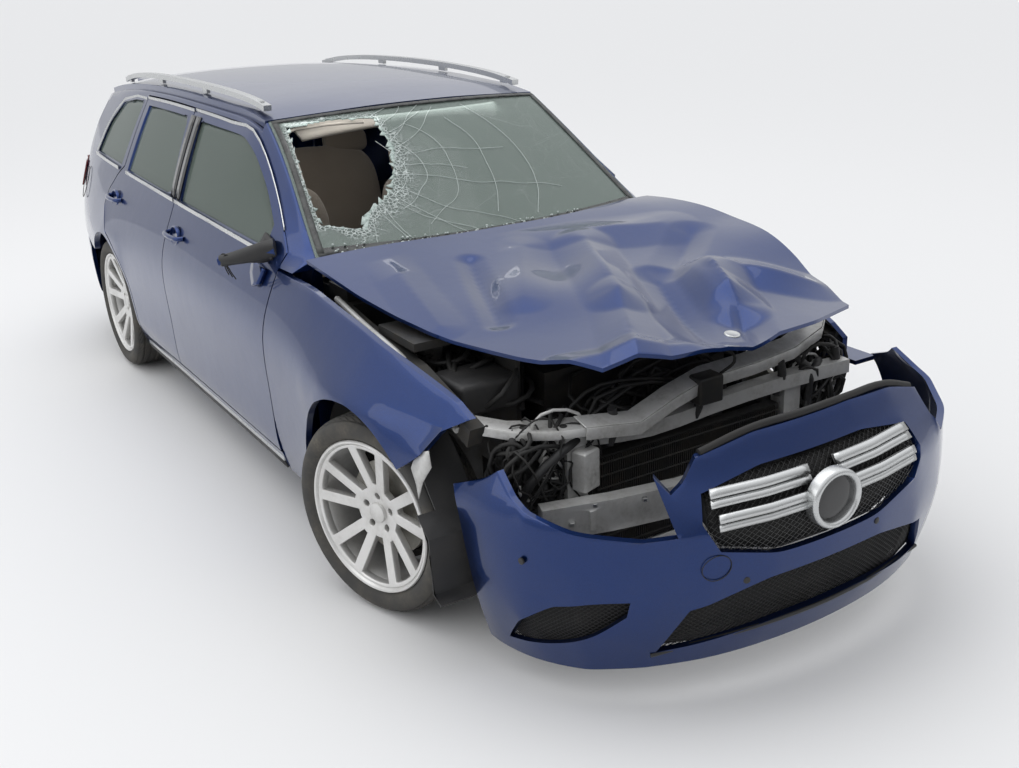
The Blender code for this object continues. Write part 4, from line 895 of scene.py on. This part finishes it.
BELT_LINE = ((0.8, 0.966), (1.8, 0.985), (2.66, 0.998), (3.34, 1.004))
BELTS = (("door_front", (0.80, 1.875)), ("door_rear", (1.895, 2.66)), ("side_frame", (2.80, 3.33)))
WINDOW_TOPS = (("door_front", (0.79, 1.90), 0.058), ("door_rear", (1.92, 2.62), 0.062))
QUARTER_EDGE = ((2.66, 1.345), (2.85, 1.340), (3.08, 1.306), (3.20, 1.235), (3.29, 1.14), (3.345, 1.03))
PILLARS = (("door_front", (1.825, 1.878)), ("door_rear", (1.893, 1.945)))


def spread(start, end, steps):
    return [start + (end - start) * i / steps for i in range(steps + 1)]


def add_side_trim():
    for side_name, side in SIDES:
        on = on_side(side, 0.0035)
        for name, backs in BELTS:
            low = [on(back, line(BELT_LINE, back)) for back in spread(*backs, 10)]
            band(f"belt_strip_{name}_{side_name}", low, (0, 0, 0.017), "bright", f"{name}_{side_name}")
        for name, backs, drop in WINDOW_TOPS:
            low = [on(back, line(CANT_LINE, back) - drop) for back in spread(*backs, 14)]
            band(f"window_strip_{name}_{side_name}", low, (0, 0, 0.013), "bright", f"{name}_{side_name}")
        frame_node = f"side_frame_{side_name}"
        band(f"window_strip_{frame_node}", [on(*point) for point in QUARTER_EDGE], (0, 0, -0.014), "bright",
             frame_node)
        for name, backs in PILLARS:
            sheet(f"pillar_trim_{name}_{side_name}", on_side(side, 0.002), backs, (1.003, 1.335), (2, 8),
                  "gloss black", f"{name}_{side_name}", 0.003)
        band(f"sill_strip_{side_name}", [on(back, 0.222) for back in spread(0.72, 2.42, 14)], (0, 0, 0.026),
             "bright", frame_node, 0.006)
        sheet(f"sill_cladding_{side_name}", on_side(side, 0.003), (0.72, 2.44), (0.193, 0.218), (14, 2),
              "plastic", frame_node, 0.006)


def circle(surface, middle, radii, steps):
    """A closed round line on a surface."""
    return [surface(middle[0] + radii[0] * math.cos(t), middle[1] + radii[1] * math.sin(t))
            for t in (2 * math.pi * k / steps for k in range(steps + 1))]


HANDLES = (("door_front", 1.760, 0.872), ("door_rear", 2.710, 0.880))
HANDLE_CUP = ((0.0, 0.0015), (0.024, 0.002), (0.038, 0.0045), (0.043, 0.0085), (0.046, 0.0085),
              (0.049, 0.0045), (0.050, 0.0), (0.049, -0.006), (0.0, -0.006))
HANDLE_BAR = ((-0.098, 0.000), (-0.090, 0.019), (-0.05, 0.030), (0.0, 0.034), (0.05, 0.030), (0.078, 0.019),
              (0.084, 0.000))


def add_handles():
    for side_name, side in SIDES:
        for name, back, z in HANDLES:
            carrier = f"{name}_{side_name}"
            outward = Matrix.Rotation(side * math.radians(84), 4, "Y")
            place = Matrix.Translation(on_side(side)(back, z)) @ outward @ Matrix.Diagonal((0.86, 1.12, 1, 1))
            turned(f"handle_cup_{carrier}", HANDLE_CUP, 36, place, "paint", carrier)
            route = [on_side(side, out)(back + along, z + 0.004) for along, out in HANDLE_BAR]
            hoses(f"handle_bar_{carrier}", [route], 0.0105, "paint", carrier, 4)
    flap = circle(on_side(-1, 0.0008), (3.47, 0.845), (0.078, 0.078), 24)
    hoses("fuel_flap_groove", [flap], 0.0018, "rubber")


MIRROR_BASE = ((0.765, 0.965), (0.90, 0.975), (0.885, 1.035), (0.80, 1.015))
MIRROR_SHELL = ((0.78, 0.93), (0.90, 0.945), (0.88, 0.90), (0.83, 0.865), (0.79, 0.88))


def add_mirror_stub():
    base = world(-0.765, 0.79, 0.995)
    tip = world(-0.945, 0.885, 0.960)
    way = tip - base
    sleeve = spun([(0.0, -0.002), (0.036, -0.002), (0.036, 0.05), (0.030, 0.10), (0.024, 0.15),
                   (0.021, 0.198), (0.017, 0.202), (0.0, 0.202)], 20)
    bmesh.ops.transform(sleeve, matrix=facing(base, way), verts=sleeve.verts[:])
    noise.seed_set(7)
    for vert in sleeve.verts:
        vert.co += 0.007 * noise.noise_vector(vert.co * 30)
    finished("mirror_stub", sleeve, "plastic", "door_front_right", smooth=0.5)
    for side_name, side in SIDES:
        patch(f"mirror_base_{side_name}", on_side(side, 0.007), MIRROR_BASE, "plastic",
              f"door_front_{side_name}", 0.012)
    routes = []
    for shift in (-0.012, 0.0, 0.013):
        routes.append([base + way * 0.75 + Vector((0, shift, 0)), base + way * 0.9 + Vector((0, shift, 0.02)),
                       tip + Vector((0.03, shift * 2, -0.03)), tip + Vector((0.045, shift * 3, -0.065))])
    hoses("mirror_wires", routes, 0.0022, "rubber", "door_front_right", 2)
    patch("mirror_shell_piece", on_side(-1, 0.012), MIRROR_SHELL, "paint", "door_front_right", 0.016)


HOLE_CENTRE = Vector((-0.66, 0.52))
HOLE_STEPS = 9
SCREEN_EDGE = 0.985
FRITS = (
    # name, range across, range up, steps
    ("low", (-SCREEN_EDGE, SCREEN_EDGE), (0.004, 0.055), (40, 2)),
    ("high", (-SCREEN_EDGE, SCREEN_EDGE), (0.945, 0.972), (40, 2)),
    ("right", (-0.988, -0.955), (0.02, 0.965), (2, 24)),
    ("left", (0.955, 0.988), (0.02, 0.965), (2, 24)),
)
TORN_LINING = ((-0.925, 0.22), (-0.935, 0.40), (-0.930, 0.62), (-0.922, 0.80), (-0.905, 0.885),
               (-0.75, 0.905), (-0.58, 0.900), (-0.42, 0.885))


def hole_edge():
    """The broken hole's outline in short steps."""
    edge = []
    for first, second in zip(SCREEN_HOLE, SCREEN_HOLE[1:] + SCREEN_HOLE[:1]):
        edge += [Vector(first).lerp(Vector(second), step / HOLE_STEPS) for step in range(HOLE_STEPS)]
    return edge


def add_slivers(edge, draw):
    slivers = bmesh.new()
    surface = on_screen(0.0035)
    for k, point in enumerate(edge):
        if point.x < -0.88 and k % 2:
            continue
        away = (HOLE_CENTRE - point).normalized()
        along = Vector((-away.y, away.x))
        reach = draw.uniform(0.008, 0.045) * (0.35 if point.x < -0.7 or point.y > 0.85 else 1)
        width = draw.uniform(0.018, 0.040)
        corners = [point - along * width - away * 0.008, point + along * width - away * 0.008,
                   point + away * reach + along * draw.uniform(-0.03, 0.03)]
        slivers.faces.new([slivers.verts.new(surface(*corner)) for corner in corners])
    solid(finished("screen_slivers", slivers, "crazed", "body"), 0.004)


def add_crazing(edge, draw):
    rim = bmesh.new()
    chart = rim.loops.layers.uv.new("edge")
    surface = on_screen(0.0075)
    inner, outer = [], []
    for k, point in enumerate(edge):
        width = 0.05 + 0.05 * math.sin(k * 0.7) ** 2 + draw.uniform(0, 0.05)
        if point.x > -0.75 and point.y < 0.72:
            width += 0.12
        inner.append(rim.verts.new(surface(*point)))
        far = point + (point - HOLE_CENTRE).normalized() * width
        outer.append(rim.verts.new(surface(max(far.x, -SCREEN_EDGE), min(max(far.y, 0.01), 0.965))))
    for k in range(len(edge)):
        after = (k + 1) % len(edge)
        face = rim.faces.new((inner[k], inner[after], outer[after], outer[k]))
        for loop, value in zip(face.loops, ((k, 0), (k + 1, 0), (k + 1, 1), (k, 1))):
            loop[chart].uv = value
    finished("screen_crazing", rim, "crazing", "body")


def add_cracks(edge, draw):
    """Crack lines that run out from the hole, and arcs between them."""
    surface = on_screen(0.0070)
    routes = []
    for point in edge[::2]:
        if point.x < -0.85:
            continue
        out = (point - HOLE_CENTRE).normalized()
        reach = draw.uniform(0.25, 1.35)
        at, turn = point.copy(), draw.uniform(-0.2, 0.2)
        route = []
        for _ in range(9):
            if abs(at.x) > 0.95 or not 0.03 < at.y < 0.95:
                break
            route.append(surface(*at))
            turn += draw.uniform(-0.22, 0.22)
            at += Matrix.Rotation(turn, 2) @ out * reach / 9
        routes.append(route)
    for radius in (0.30, 0.42, 0.60, 0.85, 1.1):
        start = draw.uniform(-80, -30)
        route = []
        for k in range(8):
            angle = math.radians(start + k * 15)
            spot = HOLE_CENTRE + Vector((radius * math.cos(angle), 0.75 * radius * math.sin(angle)))
            spot += Vector((draw.uniform(-0.02, 0.02), draw.uniform(-0.02, 0.02)))
            if abs(spot.x) < 0.94 and 0.04 < spot.y < 0.94:
                route.append(surface(*spot))
        routes.append(route)
    hoses("screen_cracks", [route for route in routes if len(route) > 2], 0.0009, "crack", "body", 1)


def add_windscreen_details():
    draw = random.Random(11)
    for name, across, up, steps in FRITS:
        sheet(f"screen_frit_{name}", on_screen(0.0085), across, up, steps, "frit", "body", 0.001)
    edge = hole_edge()
    add_slivers(edge, draw)
    add_crazing(edge, draw)
    add_cracks(edge, draw)
    torn = [on_screen(-0.012)(*point) for point in TORN_LINING]
    hoses("torn_lining_edge", [torn], 0.006, "liner", "body", 2)
    crumbs = bmesh.new()
    for _ in range(150):
        across, share = draw.uniform(-0.92, 0.55), draw.uniform(0.0, 0.10) ** 1.2
        place = Matrix.Translation(on_screen(0.011)(across, share + 0.005))
        bmesh.ops.create_icosphere(crumbs, subdivisions=1, radius=draw.uniform(0.002, 0.0055), matrix=place)
    finished("screen_crumbs", crumbs, "crumb", "body")


def dash_top(x, back):
    """The dashboard's crowned top, with a cowl over the dials."""
    cowl = math.exp(-((x - 0.36) / 0.16) ** 2) * math.exp(-((back - 0.76) / 0.06) ** 2)
    return world(x, back, 0.868 + 0.028 * math.sin(math.pi * (back - 0.5) / 0.34) + 0.035 * cowl)


def visor(x, back):
    return world(x, back, 1.372 - 0.35 * (1.30 - back) - 0.10 * x * x)


def add_cabin_trim():
    sheet("roof_lining", lambda x, back: world(x, back, roof_z(x, back) - 0.034), (-0.54, 0.54), (1.24, 3.45),
          (12, 16), "liner", "body", 0.006)
    for side_name, side in SIDES:
        sheet(f"sun_visor_{side_name}", visor, mirrored(side, 0.12, 0.48), (1.16, 1.30), (8, 5), "liner",
              "body", 0.014)
        for name, backs in (("door_front", (0.86, 1.80)), ("door_rear", (1.97, 2.36))):
            sheet(f"door_card_{name}_{side_name}", on_side(side, -0.101), backs, (0.30, 0.955), (10, 8),
                  "cabin trim", f"{name}_{side_name}", 0.008)
    mirror = bmesh.new()
    place = Matrix.Translation(world(0.02, 1.10, 1.300)) @ Matrix.Rotation(math.radians(18), 4, "Z")
    bmesh.ops.create_cube(mirror, size=1, matrix=place @ Matrix.Diagonal((0.23, 0.03, 0.065, 1)))
    finished("inner_mirror", mirror, "plastic", "body", 0.012)
    hoses("inner_mirror_stem", [[world(0.02, 1.10, 1.32), world(0.01, 1.095, 1.35), world(0, 1.10, 1.375)]],
          0.009, "plastic")
    sheet("dash_top", dash_top, (-0.61, 0.61), (0.50, 0.84), (24, 10), "dash", "body", 0.008)
    wheel = Matrix.Translation(world(0.36, 0.93, 0.90)) @ Matrix.Rotation(math.radians(-68), 4, "X")
    turned("steering_boss", [(0.0, 0.030), (0.045, 0.028), (0.062, 0.016), (0.066, 0.002), (0.060, -0.012),
                             (0.0, -0.012)], 28, wheel, "plastic")


PAD_POWER = 3.2
SEAM_DEPTH = 0.012


def cushion(bm, centre, size, degrees, crown, seams=()):
    """One stuffed pad: a closed crowned form whose sides pull in, with sewn channels across it."""
    pad = bmesh.new()
    bmesh.ops.create_cube(pad, size=2)
    bmesh.ops.subdivide_edges(pad, edges=pad.edges[:], cuts=15, use_grid_fill=True)
    half = Vector(size) / 2
    for vert in pad.verts:
        x, y, z = vert.co
        length = (abs(x) ** PAD_POWER + abs(y) ** PAD_POWER + abs(z) ** PAD_POWER) ** (1 / PAD_POWER)
        x, y, z = x / length, y / length, z / length
        if z > 0:
            z += crown / half.z * (1 - x * x) * (1 - y * y)
        for along, at in seams:
            if z > 0.2:
                z -= SEAM_DEPTH / half.z * math.exp(-(((x, y)[along] - at) / 0.05) ** 2)
        pulled = 1 - 0.09 * max(abs(x), abs(y)) ** 8 * (1 - abs(z))
        vert.co = (x * pulled * half.x, y * pulled * half.y, z * half.z)
    place = Matrix.Translation(centre) @ Matrix.Rotation(math.radians(degrees), 4, "X")
    bmesh.ops.transform(pad, matrix=place, verts=pad.verts[:])
    join(bm, pad)


def padded(name, bm, node):
    made = finished(name, bm, "cloth", node, smooth=1.2)
    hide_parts(node)


def add_seats():
    for side_name, side in SIDES:
        node = f"seat_front_{side_name}"
        x = side * 0.37
        bm = bmesh.new()
        cushion(bm, world(x, 1.46, 0.345), (0.50, 0.52, 0.20), 4, 0.02, ((0, -0.55), (0, 0.55), (1, 0.1)))
        cushion(bm, world(x, 1.74, 0.69), (0.48, 0.68, 0.15), 70, 0.03,
                ((0, -0.55), (0, 0.55), (1, 0.35), (1, -0.25)))
        cushion(bm, world(x, 1.905, 1.045), (0.25, 0.19, 0.10), 75, 0.012)
        padded(f"seat_pads_{side_name}", bm, node)
        posts = [[world(x + shift, 1.86, 0.93), world(x + shift, 1.895, 1.0)] for shift in (-0.05, 0.05)]
        hoses(f"head_rest_posts_{side_name}", posts, 0.006, "bright", node)
        rounded_box(f"seat_base_{side_name}", (x - 0.20, 1.26, 0.197), (x + 0.20, 1.68, 0.285), "plastic",
                    node, 0.01)
    bm = bmesh.new()
    cushion(bm, world(0, 2.33, 0.50), (1.16, 0.50, 0.16), 3, 0.012, ((0, -0.33), (0, 0.33)))
    cushion(bm, world(0, 2.56, 0.76), (1.02, 0.58, 0.13), 74, 0.02, ((0, -0.33), (0, 0.33)))
    for x in (-0.34, 0.34):
        cushion(bm, world(x, 2.63, 1.03), (0.25, 0.13, 0.08), 76, 0.01)
    padded("rear_seat_pads", bm, "rear_seat")
    rounded_box("rear_seat_base", (-0.58, 2.12, 0.197), (0.58, 2.375, 0.44), "cabin trim", "rear_seat", 0.01)


# The front of the car

GRILLE_HOLE = ((-0.157, 0.453), (0.157, 0.453), (0.347, 0.503), (0.396, 0.58), (0.391, 0.642), (0.20, 0.675),
               (-0.20, 0.675), (-0.391, 0.642), (-0.396, 0.58), (-0.347, 0.503))
GRILLE_BARS = (
    # height, inner end, outer end
    (0.577, 0.074, 0.354),
    (0.632, 0.050, 0.372),
)
RING = ((0.067, 0.020), (0.071, 0.027), (0.077, 0.029), (0.083, 0.026), (0.086, 0.018), (0.086, -0.010),
        (0.067, -0.010))
RING_DISC = ((0.0, 0.0165), (0.03, 0.0160), (0.055, 0.0145), (0.0668, 0.011), (0.0668, -0.010), (0.0, -0.010))
SENSOR = ((0.0, 0.0018), (0.008, 0.0016), (0.0098, 0.0004), (0.0098, -0.004), (0.0, -0.004))
SENSORS = ((-0.89, 0.470), (-0.27, 0.395), (0.18, 0.432), (0.80, 0.430))
INTAKE_LIP = ((-0.535, 0.187), (-0.14, 0.222), (0.14, 0.222), (0.535, 0.187))
BONNET_SEAL = ((-0.385, 0.728), (-0.20, 0.757), (0.0, 0.760), (0.20, 0.757), (0.42, 0.740), (0.555, 0.698))


def off_bumper(run, z):
    """A place on the bumper's face, with the local Z axis pointing off it."""
    spot = on_bumper(0.0)(run, z)
    return facing(spot, on_bumper(0.03)(run, z) - spot)


def add_bumper_details():
    # A black sheet close behind the grille mesh: painted shade standing in for the dark opening behind the
    # grille.
    made = patch("grille_back", on_bumper(-0.026), GRILLE_HOLE, "rubber", "body", 0.004)
    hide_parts("grille")
    lattice("grille_mesh", on_bumper(-0.016), (-0.385, 0.385), (0.462, 0.665), 0.022, "gloss black")
    for k, (z, near, far) in enumerate(GRILLE_BARS):
        for side_name, side in SIDES:
            ends = mirrored(side, near, far)
            for name, low, high, out, finish, thickness in (
                    ("bar", -0.021, -0.004, 0.002, "bright", 0.009),
                    ("bar", 0.001, 0.021, 0.008, "bright", 0.009),
                    ("groove", -0.018, 0.018, -0.003, "gloss black", 0.006)):
                level = "" if name == "groove" else "_low" if low < -0.01 else "_high"
                sheet(f"grille_{name}_{k}_{side_name}{level}", on_bumper(out), ends, (z + low, z + high),
                      (14, 2), finish, "body", thickness)
    middle = off_bumper(0.0, 0.565)
    turned("grille_ring", RING, 64, middle, "bright")
    turned("grille_disc", RING_DISC, 48, middle, "gloss black")
    lattice("intake_mesh", on_bumper(-0.030), (-0.545, 0.545), (0.185, 0.395), 0.021, "plastic")
    # A black sheet just behind the intake mesh: painted shade standing in for the dark opening behind it.
    sheet("intake_back", on_bumper(-0.052), (-0.56, 0.56), (0.18, 0.40), (24, 4), "rubber", "body", 0.004)
    hoses("intake_lip", [[on_bumper(0.002)(*point) for point in INTAKE_LIP]], 0.006, "plastic")
    for side_name, side in SIDES:
        ends = mirrored(side, 0.575, 1.0)
        lattice(f"fog_mesh_{side_name}", on_bumper(-0.028), ends, (0.17, 0.39), 0.019, "plastic")
        # A black sheet just behind each fog mesh: painted shade standing in for the dark opening behind it.
        sheet(f"fog_back_{side_name}", on_bumper(-0.046), ends, (0.165, 0.395), (12, 4), "rubber", "body",
              0.004)
    for k, spot in enumerate(SENSORS):
        turned(f"parking_sensor_{k}", SENSOR, 20, off_bumper(*spot), "plastic")
    cover = circle(on_bumper(0.0004), (-0.36, 0.455), (0.042, 0.036), 18)
    hoses("tow_cover_groove", [cover], 0.0012, "rubber", "body", 2)
    hoses("bonnet_seal", [[on_bumper(-0.012)(*point) for point in BONNET_SEAL]], 0.011, "rubber")


SLAM_PANEL = ((-0.42, -0.60, 0.700), (-0.25, -0.63, 0.685), (-0.10, -0.60, 0.715), (0.06, -0.57, 0.735),
              (0.24, -0.575, 0.742), (0.42, -0.56, 0.750), (0.60, -0.50, 0.765), (0.70, -0.42, 0.775))
LAMP_BRACKET = ((-0.735, -0.33, 0.745), (-0.69, -0.43, 0.715), (-0.60, -0.50, 0.695), (-0.50, -0.555, 0.690),
                (-0.40, -0.60, 0.695))
BRACKET_HOLES = ((-0.655, -0.44, 0.708), (-0.56, -0.49, 0.6975), (-0.46, -0.545, 0.6965))
HOLE_EYE = ((0.0, 0.0035), (0.009, 0.0035), (0.011, 0.001), (0.011, -0.003), (0.0, -0.003))
BEAM_BOLTS = ((-0.43, -0.652, 0.485), (0.42, -0.70, 0.492), (-0.30, -0.715, 0.49), (0.30, -0.735, 0.49),
              (-0.50, -0.64, 0.44), (-0.12, -0.75, 0.45))
RADIATOR_FACE = -0.5505
FIN_COUNT = 88
FIN_PITCH = 0.00805
HOUSINGS = (
    # name, low and high corner, finish, bevel, turn, taper
    ("engine_cover", (-0.30, -0.26, 0.757), (0.30, 0.24, 0.80), "plastic", 0.014, 0.0, 0.94),
    ("air_box", (-0.66, -0.32, 0.685), (-0.456, -0.14, 0.785), "plastic", 0.016, 0.0, 1.0),
    ("washer_tank", (-0.62, -0.50, 0.42), (-0.45, -0.42, 0.60), "rubber", 0.02, 0.0, 1.0),
    ("fuse_box", (0.456, -0.30, 0.685), (0.64, -0.14, 0.765), "plastic", 0.012, 0.0, 1.0),
    ("battery_cover", (0.456, 0.15, 0.69), (0.66, 0.38, 0.80), "rubber", 0.012, 0.0, 1.0),
    ("horn_bracket", (-0.44, -0.60, 0.50), (-0.37, -0.55, 0.62), "pale metal", 0.004, 0.3, 1.0),
)
TANGLES = (
    # name, low and high corner of its box, count, radius, finish, seed
    ("loom_right", (-0.66, -0.56, 0.47), (-0.42, -0.41, 0.70), 16, 0.0065, "rubber", 3),
    ("loom_right_thin", (-0.64, -0.58, 0.46), (-0.34, -0.41, 0.72), 22, 0.003, "rubber", 4),
    ("hoses_right", (-0.60, -0.54, 0.46), (-0.36, -0.42, 0.70), 5, 0.014, "plastic", 5),
    ("loom_wing_right", (-0.64, -0.36, 0.70), (-0.36, 0.15, 0.80), 12, 0.008, "rubber", 12),
    ("loom_front", (-0.40, -0.50, 0.58), (0.36, -0.36, 0.74), 16, 0.006, "rubber", 6),
    ("loom_left", (0.44, -0.58, 0.47), (0.68, -0.42, 0.74), 18, 0.006, "rubber", 7),
    ("loom_wing_left", (0.36, -0.36, 0.70), (0.64, 0.15, 0.80), 12, 0.008, "rubber", 13),
    ("hoses_left", (0.44, -0.56, 0.46), (0.64, -0.42, 0.70), 5, 0.013, "plastic", 8),
    ("pipes_left", (0.42, -0.56, 0.48), (0.64, -0.42, 0.72), 4, 0.005, "pale metal", 9),
    ("pipes_right", (-0.62, -0.54, 0.50), (-0.38, -0.42, 0.72), 4, 0.005, "pale metal", 10),
)


def add_supports():
    skin("radiator_support", "pale metal", 1, bevel=0.003)
    skin("crash_beam", "pale metal", 1, bevel=0.004)
    for name, points, back, drop, rise, thickness in (
            ("slam_panel_0", SLAM_PANEL, 0.0, 0.0, (0.0, 0.062, 0.014), 0.0035),
            ("slam_panel_1", SLAM_PANEL, 0.048, -0.030, (0.0, 0.012, -0.031), 0.0035),
            ("lamp_bracket", LAMP_BRACKET, 0.0, 0.0, (0.022, 0.070, 0.008), 0.0035),
            ("lamp_bracket_lip", LAMP_BRACKET, 0.0, -0.024, (0, 0, 0.024), 0.003),
            ("slam_lip", SLAM_PANEL, 0.0, -0.038, (0, -0.004, 0.038), 0.003)):
        low = [world(x, y + back, z + drop) for x, y, z in points]
        band(name, low, rise, "pale metal", "body", thickness, 0.001)
    for k, spot in enumerate(BRACKET_HOLES):
        turned(f"bracket_hole_{k}", HOLE_EYE, 20, Matrix.Translation(world(*spot)), "rubber")
    posts = [[world(x, -0.545, 0.60), world(x + 0.01, -0.56, 0.66), world(x - 0.005, -0.565, 0.72)]
             for x in (-0.30, 0.02, 0.36, 0.60)]
    hoses("latch_posts", posts, 0.014, "plastic")
    rounded_box("bonnet_latch", (0.0, -0.60, 0.66), (0.09, -0.54, 0.745), "dark metal", bevel=0.006)


def add_radiator_details():
    fins = bmesh.new()
    for k in range(FIN_COUNT):
        place = Matrix.Translation(world(-0.350 + FIN_PITCH * k, RADIATOR_FACE - 0.004, 0.41))
        bmesh.ops.create_cube(fins, size=1, matrix=place @ Matrix.Diagonal((0.0022, 0.010, 0.31, 1)))
    finished("radiator_fins", fins, "dark metal", "body")
    tubes = [[world(-0.352, RADIATOR_FACE - 0.006, z), world(0.0, RADIATOR_FACE - 0.007, z),
              world(0.362, RADIATOR_FACE - 0.006, z)] for z in spread(0.27, 0.55, 7)]
    hoses("radiator_tubes", tubes, 0.003, "dark metal", "body", 2)
    place = Matrix.Translation(world(0.0, -0.335, 0.45)) @ Matrix.Rotation(math.pi / 2, 4, "X")
    turned("fan_shroud", [(0.10, 0.0), (0.245, 0.0), (0.25, -0.02), (0.10, -0.02)], 40, place, "plastic",
           smooth=0.6)


def add_engine_bay():
    add_supports()
    add_radiator_details()
    for name, low, high, finish, bevel, turn, taper in HOUSINGS:
        rounded_box(name, low, high, finish, "body", bevel, turn, taper)
    for row in TANGLES:
        tangle(*row)
    hoses("bonnet_cable", [[world(0.10, -0.57, 0.735), world(0.13, -0.60, 0.79), world(0.11, -0.57, 0.815),
                            world(0.07, -0.52, 0.838)]], 0.0045, "rubber")
    for side_name, side in SIDES:
        route = [world(side * x, back, z) for x, back, z in
                 ((0.72, -0.40, 0.70), (0.715, -0.15, 0.80), (0.72, 0.2, 0.865), (0.70, 0.43, 0.885))]
        hoses(f"inner_wing_edge_{side_name}", [route], 0.011, "pale metal")
    for k, spot in enumerate(BEAM_BOLTS):
        bolt = bmesh.new()
        bmesh.ops.create_cone(bolt, cap_ends=True, segments=6, radius1=0.0105, radius2=0.0095, depth=0.010)
        bmesh.ops.transform(bolt, matrix=Matrix.Translation(world(*spot)), verts=bolt.verts[:])
        finished(f"beam_bolt_{k}", bolt, "bright", "body", 0.001)


def ridge(point, start, end, height, reach):
    """How much a sharp fold between two points lifts a point of the bonnet."""
    a, b, p = Vector(start), Vector(end), Vector(point)
    way = b - a
    share = min(max((p - a).dot(way) / way.length_squared, 0), 1)
    gap = (p - a - way * share).length
    return height * max(0, 1 - gap / reach) * (0.35 + 0.65 * math.sin(math.pi * (0.15 + 0.7 * share)))


BONNET_RIDGES = (
    # start and end as (across, distance behind the front axle), height, reach
    ((0.16, 0.22), (-0.05, -0.26), 0.055, 0.12),
    ((-0.05, -0.26), (-0.30, -0.68), 0.036, 0.10),
    ((0.36, -0.20), (0.25, -0.48), 0.062, 0.11),
    ((0.25, -0.48), (0.10, -0.70), -0.040, 0.09),
    ((0.20, -0.15), (0.02, -0.60), -0.055, 0.12),
    ((0.42, -0.25), (0.62, -0.45), 0.040, 0.11),
    ((-0.27, 0.28), (-0.44, -0.18), -0.024, 0.055),
    ((-0.50, 0.50), (-0.60, -0.10), 0.016, 0.09),
    ((0.05, 0.40), (0.50, 0.22), 0.028, 0.15),
    ((-0.45, -0.55), (-0.10, -0.66), 0.022, 0.08),
    ((-0.05, 0.30), (-0.30, -0.10), 0.020, 0.10),
    ((0.55, 0.10), (0.30, -0.10), -0.026, 0.09),
)


def bonnet_shape(point):
    back = point.y - FRONT_AXLE_Y
    lift = 0.0
    edge = min(1, max(0, (0.44 - back) / 0.15))
    for start, end, height, reach in BONNET_RIDGES:
        lift += ridge((point.x, back), start, end, height, reach)
    return point + Vector((0, 0, edge * lift))


FENDER_TEAR = ((-0.405, 0.612), (-0.385, 0.655), (-0.345, 0.640), (-0.330, 0.590), (-0.352, 0.545),
               (-0.362, 0.505), (-0.378, 0.560))
BONNET_DISC = ((0.0, 0.004), (0.019, 0.0035), (0.0215, 0.0045), (0.0245, 0.003), (0.0255, 0.0),
               (0.0245, -0.008), (0.0, -0.008))


def add_bonnet_details():
    bonnet = skin("bonnet", "paint", 4, shape=bonnet_shape)
    bpy.context.view_layer.update()
    _, spot, upward, _ = bonnet.ray_cast(world(0.13, -0.585, 1.2), Vector((0, 0, -1)))
    turned("bonnet_disc", BONNET_DISC, 36, facing(spot, upward), "bright")
    sheet("cowl", lambda x, back: world(x, back - 0.03 * (1 - (x / 0.7) ** 2), 0.955 + 0.10 * (back - 0.5)),
          (-0.68, 0.68), (0.50, 0.62), (24, 4), "plastic", "body", 0.004)
    patch("fender_tear", on_side(-1, -0.008), FENDER_TEAR, "pale metal", "body", 0.003, 1)


# The rear of the car

def spoiler(x, back):
    return world(x, back - 0.12 * (x / 0.74) ** 2, 1.3365 - 0.22 * (back - 3.59) - 0.10 * abs(x) ** 2.6)


def spoiler_end(x, z):
    return world(x, 3.6765 - 0.12 * (x / 0.74) ** 2, z)


def add_rear_details():
    for side_name, side in SIDES:
        frame_node = f"side_frame_{side_name}"
        for name, surface, u, v, steps, finish, carrier, thickness in (
                ("tail_lamp", on_tail(0.006), mirrored(side, 0.612, 0.733), (0.775, 0.945), (8, 8), "lens",
                 frame_node, 0.014),
                ("tail_lamp_wrap", on_side(side, 0.004), (3.63, 3.72), (0.80, 0.93), (6, 6), "lens",
                 frame_node, 0.010),
                ("tail_lamp_gate", on_tail(0.006), mirrored(side, 0.39, 0.592), (0.79, 0.935), (8, 6), "lens",
                 "tailgate", 0.012),
                ("tail_lamp_strip", on_tail(0.0145), mirrored(side, 0.40, 0.582), (0.85, 0.868), (8, 2),
                 "clear lens", "tailgate", 0.004),
                ("exhaust_trim", on_rear_bumper(0.006), mirrored(side, 0.50, 0.68), (0.215, 0.262), (10, 3),
                 "bright", "body", 0.012),
                ("reflector", on_rear_bumper(0.004), mirrored(side, 0.42, 0.62), (0.335, 0.356), (8, 2),
                 "lens", "body", 0.006)):
            sheet(f"{name}_{side_name}", surface, u, v, steps, finish, carrier, thickness)
    for row in (
            ("rear_valance", on_rear_bumper(0.004), (-0.48, 0.48), (0.205, 0.30), (16, 4), "plastic", "body",
             0.010),
            ("plate_blank", on_tail(0.012), (-0.26, 0.26), (0.675, 0.785), (10, 3), "plate", "tailgate",
             0.004),
            ("plate_recess", on_tail(0.005), (-0.30, 0.30), (0.655, 0.80), (10, 3), "gloss black", "tailgate",
             0.006),
            ("plate_strip", on_tail(0.016), (-0.31, 0.31), (0.812, 0.832), (12, 2), "bright", "tailgate",
             0.012),
            ("roof_spoiler", spoiler, (-0.42, 0.42), (3.588, 3.675), (20, 5), "paint", "tailgate", 0.022),
            ("high_stop_lamp", spoiler_end, (-0.14, 0.14), (1.311, 1.320), (6, 2), "lens", "tailgate",
             0.004)):
        sheet(*row)
    arm = [on_tail(0.010)(*point) for point in ((0.0, 1.02), (0.05, 1.06), (0.30, 1.10))]
    hoses("rear_wiper", [arm], 0.007, "plastic", "tailgate")


for step in (set_camera, set_studio, add_floor, add_panels, add_bonnet_details, add_wheels, dress_plain_nodes,
             add_side_trim, add_handles, add_mirror_stub, add_windscreen_details, add_cabin_trim, add_seats,
             add_bumper_details, add_engine_bay, add_rear_details):
    step()
